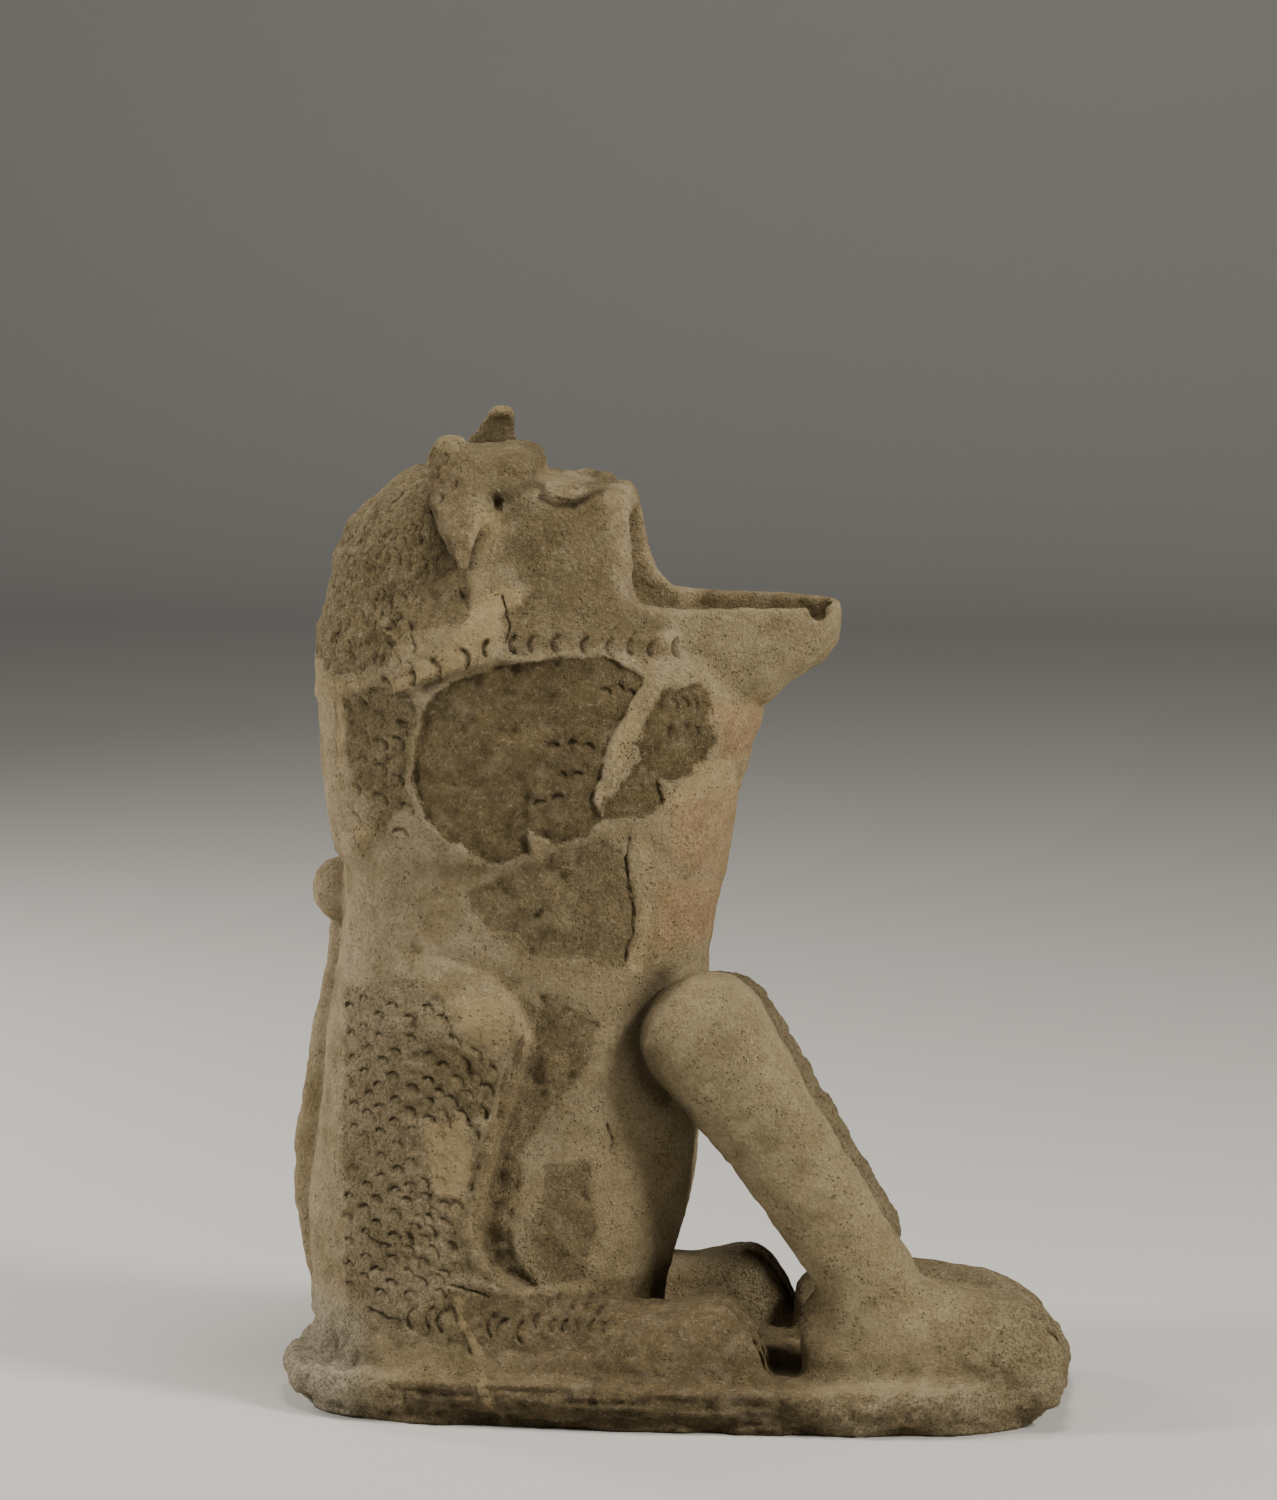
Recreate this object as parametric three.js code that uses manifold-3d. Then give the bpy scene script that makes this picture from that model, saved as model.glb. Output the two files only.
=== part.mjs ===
// A guardian lion of fired clay that sits up on its haunches, head thrown back and jaws wide open.
// Lion and plinth were built from one body of clay, so the part is one solid. Millimetres, +Z up,
// +X the way the lion faces, +Y its left side. The origin is on the ground under the plinth's middle.
import * as THREE from "three";
import { mergeVertices } from "three/addons/utils/BufferGeometryUtils.js";
import Module from "manifold-3d";

// Driving dimensions, mm
const figureHeight = 760; // plinth's top to the tip of the taller ear
const plinthThickness = 38;
const plinthSideMargin = 12.3; // how far it stands out beside the hind feet
const plinthEdgeRadius = 12;
const plinthUndercut = 7; // how far its sides draw in towards the ground
const plinthToeUndercut = 12; // the same at its front end, where it is worn
const markRadius = 9.5; // the reed end that pressed the row of marks under the cheek
const markWidth = 3.8;
const markDepth = 3;
const markCount = 13; // on each side
const markSweep = 150; // degrees of the reed's ring that bit into the clay
const cell = 9; // grid on which the skin is found
const faceCount = 7900; // triangles left in the skin after thinning

// The figure's own measures below are hundredths of its height. Heights start at the plinth's top.
const h = figureHeight / 100;

const clamp = (v, low, high) => Math.min(Math.max(v, low), high);
const mix = (a, b, t) => a + (b - a) * t;
// 0 at low and below it, 1 at high and beyond; low may also be the larger one
const smoothstep = (low, high, v) => {
  const t = clamp((v - low) / (high - low), 0, 1);
  return t * t * (3 - 2 * t);
};

// Signed distances: negative inside the clay. join, meet and cut round their corner over the length k.
const join = (a, b, k) => {
  const t = clamp(0.5 + (b - a) / (2 * k), 0, 1);
  return mix(b, a, t) - k * t * (1 - t);
};
const meet = (a, b, k) => -join(-a, -b, k);
const cut = (a, b, k) => meet(a, -b, k);

// A smooth curve through rows of [place, value, value, ...], tabulated so that it is quick to read.
function curve(rows) {
  const samples = 400;
  const first = rows[0][0];
  const last = rows[rows.length - 1][0];
  const slopes = rows.map((_, i) => {
    const before = rows[Math.max(i - 1, 0)];
    const after = rows[Math.min(i + 1, rows.length - 1)];
    return after.map((v, k) => (v - before[k]) / (after[0] - before[0]));
  });
  const columns = rows[0].slice(1).map(() => new Float64Array(samples + 1));
  for (let s = 0, i = 0; s <= samples; s++) {
    const place = mix(first, last, s / samples);
    while (i < rows.length - 2 && place > rows[i + 1][0]) i++;
    const span = rows[i + 1][0] - rows[i][0];
    const t = (place - rows[i][0]) / span;
    columns.forEach((column, k) => {
      const [a, b] = [rows[i][k + 1], rows[i + 1][k + 1]];
      const [da, db] = [slopes[i][k + 1] * span, slopes[i + 1][k + 1] * span];
      column[s] =
        a + t * (da + t * (3 * (b - a) - 2 * da - db + t * (2 * (a - b) + da + db)));
    });
  }
  return (place, k = 0) => {
    const s = (clamp((place - first) / (last - first), 0, 1)) * samples;
    const i = Math.min(Math.floor(s), samples - 1);
    return mix(columns[k][i], columns[k][i + 1], s - i);
  };
}

// Distance to an oval of half-axes a and b: fullness 2 is an ellipse, more is squarer.
function oval(u, v, a, b, fullness) {
  const q = (Math.abs(u / a) ** fullness + Math.abs(v / b) ** fullness) ** (1 / fullness);
  return q < 1e-6 ? -Math.min(a, b) : Math.hypot(u, v) * (1 - 1 / q);
}

function ellipsoid(x, y, z, rx, ry, rz) {
  const q = Math.hypot(x / rx, y / ry, z / rz);
  return q < 1e-6 ? -Math.min(rx, ry, rz) : Math.hypot(x, y, z) * (1 - 1 / q);
}

function roundedBox(x, y, z, hx, hy, hz, r) {
  const [dx, dy, dz] = [Math.abs(x) - hx + r, Math.abs(y) - hy + r, Math.abs(z) - hz + r];
  const outside = Math.hypot(Math.max(dx, 0), Math.max(dy, 0), Math.max(dz, 0));
  return outside + Math.min(Math.max(dx, dy, dz), 0) - r;
}

// A rolled limb: a line from a to b, [x, y, z, radius] each, whose thickness changes evenly.
// Its section is an oval across Y, so a fullness over 2 gives it flatter sides.
function roll(x, y, z, a, b, fullness = 2) {
  const [ux, uy, uz] = [b[0] - a[0], b[1] - a[1], b[2] - a[2]];
  const along = (x - a[0]) * ux + (y - a[1]) * uy + (z - a[2]) * uz;
  const t = clamp(along / (ux * ux + uy * uy + uz * uz), 0, 1);
  const inPlane = Math.hypot(x - a[0] - ux * t, z - a[2] - uz * t);
  const across = Math.abs(y - a[1] - uy * t);
  return (inPlane ** fullness + across ** fullness) ** (1 / fullness) - mix(a[3], b[3], t);
}

// Torso and neck, upright ovals: [height, back, front, half width]
const torsoRows = curve([
  [-2, -39.0, -1.9, 15.5],
  [4.5, -39.0, -1.8, 15.5],
  [10, -39.5, -0.5, 15.5],
  [14.7, -39.8, 0.8, 15.4],
  [21.3, -39.1, 1.7, 15.3],
  [27.9, -38.2, 2.1, 15.3],
  [37.1, -37.0, 2.6, 15.5],
  [42.8, -36.3, 2.9, 15.6],
  [47.1, -35.8, 3.6, 15.7],
  [51.4, -35.6, 4.5, 15.8],
  [60.1, -35.8, 6.0, 15.9],
  [64.5, -36.0, 7.3, 15.9],
  [69.1, -36.2, 8.6, 15.6],
  [76, -36.4, 5.0, 15.2],
  [80, -36.4, 0.0, 14.6],
]);
const torsoTop = 78;
const torsoFullness = 2.5;

// The mane is a thicker coat of clay over the neck, with a lip at its lower edge.
const maneRows = curve([
  [50, -35.9, 4.4, 16.0],
  [55, -36.9, 5.2, 16.4],
  [59.3, -37.6, 5.9, 16.6],
  [65.8, -38.2, 7.4, 16.3],
  [69.1, -38.4, 8.6, 15.9],
  [76, -38.6, 5.0, 15.3],
]);
// Height of that edge from the back to the chest: [x, height]
const maneFoot = curve([
  [-40, 52.8],
  [-26, 53.2],
  [-17, 54.2],
  [-10.6, 56],
  [-2.5, 57],
  [1.5, 53.5],
  [6, 49],
]);

// Cranium and upper jaw. The mouth is cut out of it below.
const headRows = curve([
  [68, -38.4, 6.0, 16.2],
  [73.3, -38.6, 4.2, 16.4],
  [78.7, -38.2, 1.0, 15.6],
  [82.1, -37.4, -1.3, 14.6],
  [85.1, -36.9, -1.9, 13.8],
  [89.5, -34.8, -2.6, 12.4],
  [91.6, -32.0, -3.0, 11.2],
  [93.7, -29.4, -3.6, 9.8],
  [95.5, -26.0, -4.4, 8.6],
]);
const headFullness = 2.4;
// Its lower edge, from the back to the throat: [x, height]
const headFoot = curve([
  [-40, 69.8],
  [-36.2, 70.1],
  [-29.2, 71.2],
  [-24.9, 73.2],
  [-21.2, 74.3],
  [-16.6, 75.4],
  [-6.7, 75.1],
  [-2.6, 75.1],
  [1.3, 74.2],
  [3.3, 72.1],
]);
const muzzleTop = { z: 93.0, from: -14, fall: 0.08 }; // it falls forward of the brow
const crownRise = { height: 1.7, from: -13, to: -21 }; // the skull stands higher behind the muzzle
const brow = { x: -20.15, z: 92.55, length: 4.95, width: 8.5, depth: 3.6, radius: 1.9 };

// Lower jaw, level ovals from the throat out to the tip: [x, underside, rim, half width]
const jawRows = curve([
  [-7.4, 66, 80.5, 12],
  [-2.1, 66.5, 80.5, 11],
  [3.2, 67.6, 80.5, 9.6],
  [9.5, 69.8, 80.5, 7.9],
  [11.3, 71.5, 80.5, 7.4],
  [14.9, 74.0, 80.5, 6.2],
  [17.6, 76.2, 80.2, 4.9],
]);
const jawRoot = -12;
const jawTip = 16.9;
const jawFullness = 2.8;

// The gape: a palate that stands upright, a jaw floor that lies level, and a trough sunk in both.
// The palate leans, and stands a little further forward on one side low down than high up.
const palate = { x: -4.35, z: 84, lean: 0.1, skew: -0.03, twist: 0.011 };
const jawFloor = 80.4;
const gapeRadius = { middle: 4, left: 0.2, least: 2.6, most: 5.4 };
const trough = { depth: 2.5, lip: 1.6, palateHalfWidth: 6, top: 89.8, end: 15.7 };
const tipNotch = { x: 14.8, y: -3.6, z: 79.6, radius: 1.1 };

// Eyes lie where the muzzle's side turns over to its top. A hollow runs from them down under the
// brow to the hole in front of the ear.
const eye = { x: -10.4, y: 8.7, z: 91.8, length: 2.8, height: 1.3, thickness: 1.6 };
const temple = { eyeEnd: [-14.0, 10.6, 93.2, 1.2], earEnd: [-18.4, 12.2, 91.2, 1.7] };
const earHole = { x: -18.3, y: 11.9, z: 91.4, length: 1.0, depth: 2.2, height: 1.3 };

// Each ear is a leaf of clay pressed on edge. Its edges are [height, back, front], and it stands
// out from the middle and spreads towards its foot.
const ears = [
  {
    side: -1, stand: 13.7, spread: 0.44, top: 98.25,
    edges: curve([
      [84.0, -21.2, -20.2],
      [85.7, -21.9, -20.3],
      [87.1, -22.9, -20.1],
      [89.4, -24.1, -19.2],
      [91.3, -24.7, -18.2],
      [92.4, -24.9, -18.7],
      [93.85, -25.1, -19.5],
      [95.0, -25.4, -20.1],
      [96.3, -25.2, -20.6],
      [98.0, -24.4, -21.7],
      [99.0, -23.8, -22.3],
    ]),
  },
  {
    side: 1, stand: 12.9, spread: 0.4, top: 99.65,
    edges: curve([
      [84.0, -21.6, -19.6],
      [86.5, -24.0, -18.8],
      [90.0, -25.6, -18.3],
      [93.0, -25.6, -18.2],
      [96.0, -24.1, -18.6],
      [97.0, -23.2, -18.9],
      [98.0, -22.5, -19.0],
      [99.2, -21.6, -19.2],
      [100.2, -20.9, -19.5],
    ]),
  },
];
const earThickness = { at: 90, half: 1.6, taper: 0.08, below: 4, above: 9 };
const earFoot = 84.4;

// Forelegs: shoulder, shin and ankle as [x, height, radius], then the foot as [x, top, half width]
const foreleg = {
  spread: 10.3,
  right: [[3.8, 35.4, 6.6], [12.5, 22.8, 5.0], [20.8, 10.6, 4.8]],
  left: [[3.4, 32.6, 5.9], [11.3, 21.8, 4.8], [18.4, 10.4, 4.6]],
};
const heelEnd = 14.2;
const toeEnd = 41.8;
const forefootRows = curve([
  [14.6, 7.6, 4.2],
  [19.7, 10.2, 4.9],
  [26.9, 9.7, 5.4],
  [33.2, 8.9, 5.8],
  [36.2, 8.2, 5.8],
  [39.0, 6.8, 5.5],
  [40.9, 5.0, 4.9],
  [42.1, 2.9, 4.0],
]);
const legFullness = 2.7;
const leftForefoot = { setBack: 2.6, wear: 2.4 }; // the left foot is set back and worn down

// Hind feet lie flat along the plinth: [x, top, half width]
const hindfootRows = curve([
  [-34, 6.0, 2.6],
  [-24, 7.4, 3.6],
  [-14.3, 8.8, 5.0],
  [-6.4, 8.0, 5.2],
  [-0.6, 7.5, 5.2],
  [4.2, 8.5, 5.3],
  [6.3, 8.4, 5.2],
  [7.9, 7.2, 5.0],
  [9.5, 5.0, 4.6],
  [10.9, 2.0, 4.0],
]);
const hindfoot = { spread: 14.0, tip: 10.9 };
const leftHindfoot = { setForward: 0.6, wear: 0.8 };
const toes = { count: 4, grooveRadius: 0.55, length: 6 };

// The thigh is a coat of clay on the flank. Its front edge runs in an S: [height, x]
const thighEdge = curve([
  [-2, -11],
  [6, -12.5],
  [9.2, -14.4],
  [11.4, -18.0],
  [14.4, -19.3],
  [17.6, -18.9],
  [21.9, -18.0],
  [26.2, -16.8],
  [30.5, -15.4],
  [34.8, -14.2],
  [38, -14.9],
  [41.6, -17.4],
  [43.6, -22],
  [44.6, -30],
  [45, -40],
]);
const thighRaise = 2.4;
const thighLip = 2; // how wide the slope of its front edge is
const thighFade = { from: -40, to: -26 }; // it thins out towards the back, and towards its top
const thighTop = { from: 36, to: 46 };
const flank = { x: -13.5, y: 16.6, z: 27, length: 4.2, depth: 1.7, height: 12 };

// The tail runs up the spine to a tuft: [x, height, radius]
const tail = [
  [-37.6, 3, 1.9],
  [-38.6, 8.8, 1.9],
  [-39.8, 15.4, 1.9],
  [-39.7, 22.1, 1.9],
  [-38.2, 30.9, 1.9],
  [-37.0, 37.5, 1.8],
  [-36.2, 44.1, 1.7],
];
const tuft = { x: -36.3, z: 48.7, length: 3.3, width: 3.6, height: 3.5 };

// The row of reed marks under each cheek: [x, height]
const markRow = curve([
  [-28.6, 72.8],
  [-23.4, 75.4],
  [-18.7, 76.8],
  [-13.8, 77.4],
  [-5.9, 77.0],
  [0.8, 76.5],
]);
const markEnds = [-28.6, 0.8];

function headField(x, y, z) {
  const [back, front, half] = [headRows(z), headRows(z, 1), headRows(z, 2)];
  const skull = oval(x - (back + front) / 2, y, (front - back) / 2, half, headFullness);
  const rise = crownRise.height * smoothstep(crownRise.from, crownRise.to, x);
  const top = muzzleTop.z + rise - muzzleTop.fall * Math.max(x - muzzleTop.from, 0);
  return meet(meet(skull, z - top, 2.2), headFoot(x) - z, 0.8);
}

function jawField(x, y, z) {
  const [under, rim, half] = [jawRows(x), jawRows(x, 1), jawRows(x, 2)];
  const bowl = Math.max(oval(y, z - rim, half, rim - under, jawFullness), z - rim);
  return Math.max(meet(bowl, x - jawTip, 1.6), jawRoot - x);
}

// How deep a point lies in the gape: negative in the open air between the jaws
function gapeField(x, y, z) {
  const up = z - palate.z;
  const palateX = palate.x - palate.lean * up - (palate.skew + palate.twist * up) * y;
  const radius = clamp(gapeRadius.middle + gapeRadius.left * y, gapeRadius.least, gapeRadius.most);
  return meet(palateX - x, jawFloor - z, radius);
}

function troughField(x, y, z, gape) {
  const onJaw = Math.max(jawRows(x, 2) - trough.lip, 1.5);
  const half = mix(trough.palateHalfWidth, onJaw, smoothstep(-4, 2, x));
  const sunk = meet(Math.abs(y) - half, gape - trough.depth, 0.8);
  return Math.max(sunk, x - trough.end, z - trough.top);
}

function faceField(x, y, z) {
  const side = Math.abs(y);
  let d = join(headField(x, y, z), jawField(x, y, z), 2.2);
  const gape = gapeField(x, y, z);
  d = cut(d, gape, 0.7);
  d = cut(d, troughField(x, y, z, gape), 0.5);
  const notch = roll(x, y, z,
    [tipNotch.x, tipNotch.y, tipNotch.z, tipNotch.radius],
    [tipNotch.x + 0.6, tipNotch.y - 4, tipNotch.z + 1, tipNotch.radius]);
  d = cut(d, notch, 0.3);
  d = cut(d, roll(x, side, z, temple.earEnd, temple.eyeEnd), 1.2);
  const hole = ellipsoid(
    x - earHole.x, side - earHole.y, z - earHole.z, earHole.length, earHole.depth, earHole.height);
  d = cut(d, hole, 0.6);
  const block = roundedBox(
    x - brow.x, y, z - brow.z, brow.length, brow.width, brow.depth, brow.radius);
  d = join(d, block, 0.8);
  const ball = ellipsoid(x - eye.x, side - eye.y, z - eye.z, eye.length, eye.thickness, eye.height);
  return join(d, ball, 0.5);
}

function earField(x, y, z, ear) {
  const [back, front] = [ear.edges(z), ear.edges(z, 1)];
  const dy = y * ear.side - ear.stand + ear.spread * (z - earThickness.at);
  const rise = clamp(z - earThickness.at, -earThickness.below, earThickness.above);
  const thickness = earThickness.half - earThickness.taper * rise;
  const leaf = oval(x - (back + front) / 2, dy, (front - back) / 2, thickness, 2.3);
  return meet(meet(leaf, z - ear.top, 0.6), earFoot - z, 2);
}

function footField(x, y, z, rows, end, wear) {
  const top = rows(x) - wear;
  const half = rows(x, 1);
  const middle = -2; // the oval's middle lies in the plinth
  return meet(oval(y, z - middle, half, top - middle, 3), x - end, 1.2);
}

// Grooves between the toes run over the end of a foot.
function toeGrooves(x, y, z, rows, end, wear) {
  let nearest = Infinity;
  for (let gap = 1; gap < toes.count; gap++) {
    const across = (gap / toes.count - 0.5) * 2 * rows(end, 1);
    const start = end - toes.length;
    const from = [start, across * 1.1, rows(start) - wear + 0.2, 0];
    const over = [end - 1.6, across, rows(end - 1.6) - wear + 0.2, toes.grooveRadius];
    const to = [end + 0.3, across * 0.8, -1, toes.grooveRadius];
    nearest = Math.min(nearest, roll(x, y, z, from, over), roll(x, y, z, over, to));
  }
  return nearest;
}

function forelegField(x, y, z) {
  const left = y > 0;
  const across = Math.abs(y) - foreleg.spread;
  const joints = left ? foreleg.left : foreleg.right;
  const [shoulder, shin, ankle] = joints.map(([px, pz, r]) => [px, 0, pz, r]);
  const upper = roll(x, across, z, shoulder, shin, legFullness);
  const lower = roll(x, across, z, shin, ankle, legFullness);
  const footX = x + (left ? leftForefoot.setBack : 0);
  const wear = left ? leftForefoot.wear : 0;
  const foot = meet(footField(footX, across, z, forefootRows, toeEnd, wear), heelEnd - footX, 1.5);
  const leg = join(join(upper, lower, 0.8), foot, 2.4);
  return cut(leg, toeGrooves(footX, across, z, forefootRows, toeEnd, wear), 0.4);
}

function hindfootField(x, y, z) {
  const left = y > 0;
  const forward = left ? leftHindfoot.setForward : 0;
  const wear = left ? leftHindfoot.wear : 0;
  const across = Math.abs(y) - hindfoot.spread;
  const foot = footField(x - forward, across, z, hindfootRows, hindfoot.tip, wear);
  const grooves = toeGrooves(x - forward, across, z, hindfootRows, hindfoot.tip - 0.4, wear);
  return meet(cut(foot, grooves, 0.4), -32 - x, 3);
}

function bodyField(x, y, z) {
  const [back, front, half] = [torsoRows(z), torsoRows(z, 1), torsoRows(z, 2)];
  const torso = oval(x - (back + front) / 2, y, (front - back) / 2, half, torsoFullness);
  const side = Math.abs(y);
  const onThigh = smoothstep(thighLip / 2, -thighLip / 2, x - thighEdge(z));
  const fade = smoothstep(thighFade.from, thighFade.to, x) * smoothstep(thighTop.to, thighTop.from, z);
  let d = torso - thighRaise * fade * onThigh;
  const hollow = ellipsoid(
    x - flank.x, side - flank.y, z - flank.z, flank.length, flank.depth, flank.height);
  d = cut(d, hollow, 1.5);
  const [maneBack, maneFront, maneHalf] = [maneRows(z), maneRows(z, 1), maneRows(z, 2)];
  const coat = oval(
    x - (maneBack + maneFront) / 2, y, (maneFront - maneBack) / 2, maneHalf, torsoFullness);
  d = mix(d, Math.min(d, coat), smoothstep(-0.8, 1, z - maneFoot(x)));
  d = meet(d, z - torsoTop, 1);
  return Math.max(d, -2 - z);
}

function tailField(x, y, z) {
  let d = Infinity;
  for (let i = 1; i < tail.length; i++) {
    const [a, b] = [tail[i - 1], tail[i]].map(([px, pz, r]) => [px, 0, pz, r]);
    d = Math.min(d, roll(x, y * 0.85, z, a, b));
  }
  const knob = ellipsoid(x - tuft.x, y, z - tuft.z, tuft.length, tuft.width, tuft.height);
  return join(d, knob, 0.8);
}

// The whole figure, in hundredths. Parts far from the point are skipped, which changes nothing.
function figureField(x, y, z) {
  let d = bodyField(x, y, z);
  if (z > 62) {
    d = join(d, faceField(x, y, z), 0.9);
    for (const ear of ears) d = join(d, earField(x, y, z, ear), 0.5);
  }
  if (z < 46 && x > -12) d = join(d, forelegField(x, y, z), 1.4);
  if (z < 14) d = join(d, hindfootField(x, y, z), 1.8);
  if (z < 56 && x < -28) d = join(d, tailField(x, y, z), 0.7);
  return meet(d, -figureSole - z, 3);
}

// The plinth runs from under the tail to just behind the toes' ends, and stands out beside the
// hind feet. The figure goes on a little way down in it.
const figureSole = 3;
const toeOverhang = 0.2;
const plinthBack = Math.min(...tail.map(([x, , radius]) => x - radius)) * h;
const plinthFront = (toeEnd - toeOverhang) * h;
const plinthHalfWidth = (hindfoot.spread + hindfootRows(4.2, 1)) * h + plinthSideMargin;
const plinthSquareness = 3.8;
const plinthBlend = 1.2;

function plinthField(x, y, z) {
  const [middle, half] = [(plinthFront + plinthBack) / 2, (plinthFront - plinthBack) / 2];
  const wall = oval(x - middle, y, half, plinthHalfWidth, plinthSquareness);
  const undercut = mix(plinthUndercut, plinthToeUndercut, smoothstep(half / 2, half, x - middle));
  const drawnIn = wall + undercut * smoothstep(plinthThickness * 0.6, 0, z);
  return meet(drawnIn, z - plinthThickness, plinthEdgeRadius);
}

// Distance to the clay, mm
function clay(x, y, z) {
  const figure = figureField(x / h, y / h, (z - plinthThickness) / h) * h;
  const d = join(figure, plinthField(x, y, z), plinthBlend * h);
  return Math.max(d, -cell - z); // the clay runs on a little under the ground, to be cut flat
}

// The orders of a tetrahedron's four corners that keep its handedness
const evenOrders = [
  [0, 1, 2, 3], [1, 0, 3, 2], [2, 3, 0, 1], [3, 2, 1, 0],
  [0, 2, 3, 1], [0, 3, 1, 2], [1, 2, 0, 3], [1, 3, 2, 0],
];

// Marching tetrahedra. Each cube of the grid is six tetrahedra round its long diagonal, and a
// vertex sits wherever one of their edges crosses the surface, which always gives a closed skin.
function findSkin(field, low, high) {
  const n = low.map((v, k) => Math.ceil((high[k] - v) / cell) + 1);
  const values = new Float32Array(n[0] * n[1] * n[2]);
  const at = (i, j, k) => (i * n[1] + j) * n[2] + k;
  const place = (c) => [Math.floor(c / (n[1] * n[2])), Math.floor(c / n[2]) % n[1], c % n[2]];
  for (let i = 0; i < n[0]; i++)
    for (let j = 0; j < n[1]; j++)
      for (let k = 0; k < n[2]; k++)
        values[at(i, j, k)] = field(low[0] + i * cell, low[1] + j * cell, low[2] + k * cell);

  // The six ways from a cube's low corner to its high one, as steps from the low corner
  const [x, y, z] = [at(1, 0, 0), at(0, 1, 0), at(0, 0, 1)];
  const high3 = x + y + z;
  const tetrahedra = [
    [0, x, x + y, high3],
    [0, y, y + z, high3],
    [0, z, z + x, high3],
    [0, x + y, y, high3],
    [0, y + z, z, high3],
    [0, z + x, x, high3],
  ];

  const points = [];
  const faces = [];
  const found = new Map();
  function crossing(a, b) {
    const [p, q] = a < b ? [a, b] : [b, a];
    const key = p * values.length + q;
    if (!found.has(key)) {
      found.set(key, points.length / 3);
      const t = values[p] / (values[p] - values[q]);
      const [from, to] = [place(p), place(q)];
      from.forEach((v, m) => points.push(low[m] + mix(v, to[m], t) * cell));
    }
    return found.get(key);
  }
  const inside = (c) => values[c] < 0;
  for (let i = 0; i < n[0] - 1; i++)
    for (let j = 0; j < n[1] - 1; j++)
      for (let k = 0; k < n[2] - 1; k++) {
        const base = at(i, j, k);
        const state = inside(base);
        const whole = [x, y, z, x + y, y + z, z + x, high3];
        if (whole.every((step) => inside(base + step) === state)) continue;
        for (const tetrahedron of tetrahedra) {
          const corners = tetrahedron.map((step) => base + step);
          const count = corners.filter(inside).length;
          if (count === 0 || count === 4) continue;
          const order = evenOrders.find((o) =>
            o.every((m, place) => inside(corners[m]) === (count === 3 ? place > 0 : place < count)));
          const [a, b, c, d] = order.map((m) => corners[m]);
          if (count === 1) faces.push([crossing(a, b), crossing(a, c), crossing(a, d)]);
          if (count === 3) faces.push([crossing(a, b), crossing(a, d), crossing(a, c)]);
          if (count === 2) {
            faces.push([crossing(a, c), crossing(a, d), crossing(b, d)]);
            faces.push([crossing(a, c), crossing(b, d), crossing(b, c)]);
          }
        }
      }
  return { points: Float64Array.from(points), faces };
}

// Draws every vertex towards its neighbours' middle, which evens out the triangles, then slides it
// back along the field's slope until it lies on the surface.
function settle({ points, faces }, field) {
  const step = 0.5;
  const sums = new Float64Array(points.length);
  const counts = new Uint16Array(points.length / 3);
  for (let pass = 0; pass < 4; pass++) {
    sums.fill(0);
    counts.fill(0);
    for (const face of faces)
      face.forEach((v, i) => {
        const w = face[(i + 1) % 3];
        for (let m = 0; m < 3; m++) sums[3 * v + m] += points[3 * w + m];
        counts[v]++;
      });
    for (let i = 0; i < points.length; i += 3) {
      const [x, y, z] = [0, 1, 2].map((m) => mix(points[i + m], sums[i + m] / counts[i / 3], 0.6));
      const d = field(x, y, z);
      const gx = (field(x + step, y, z) - d) / step;
      const gy = (field(x, y + step, z) - d) / step;
      const gz = (field(x, y, z + step) - d) / step;
      const move = clamp(d, -cell / 2, cell / 2) / Math.max(gx * gx + gy * gy + gz * gz, 0.3);
      points[i] = x - gx * move;
      points[i + 1] = y - gy * move;
      points[i + 2] = z - gz * move;
    }
  }
}

// A heap of [cost, ...] entries, lowest cost first
class Queue {
  items = [];
  push(entry) {
    const items = this.items;
    let i = items.push(entry) - 1;
    while (i > 0) {
      const parent = (i - 1) >> 1;
      if (items[parent][0] <= items[i][0]) break;
      [items[parent], items[i]] = [items[i], items[parent]];
      i = parent;
    }
  }
  pop() {
    const items = this.items;
    const top = items[0];
    const last = items.pop();
    if (items.length) items[0] = last;
    for (let i = 0; ; ) {
      let least = i;
      for (const child of [2 * i + 1, 2 * i + 2])
        if (child < items.length && items[child][0] < items[least][0]) least = child;
      if (least === i) return top;
      [items[least], items[i]] = [items[i], items[least]];
      i = least;
    }
  }
}

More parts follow.
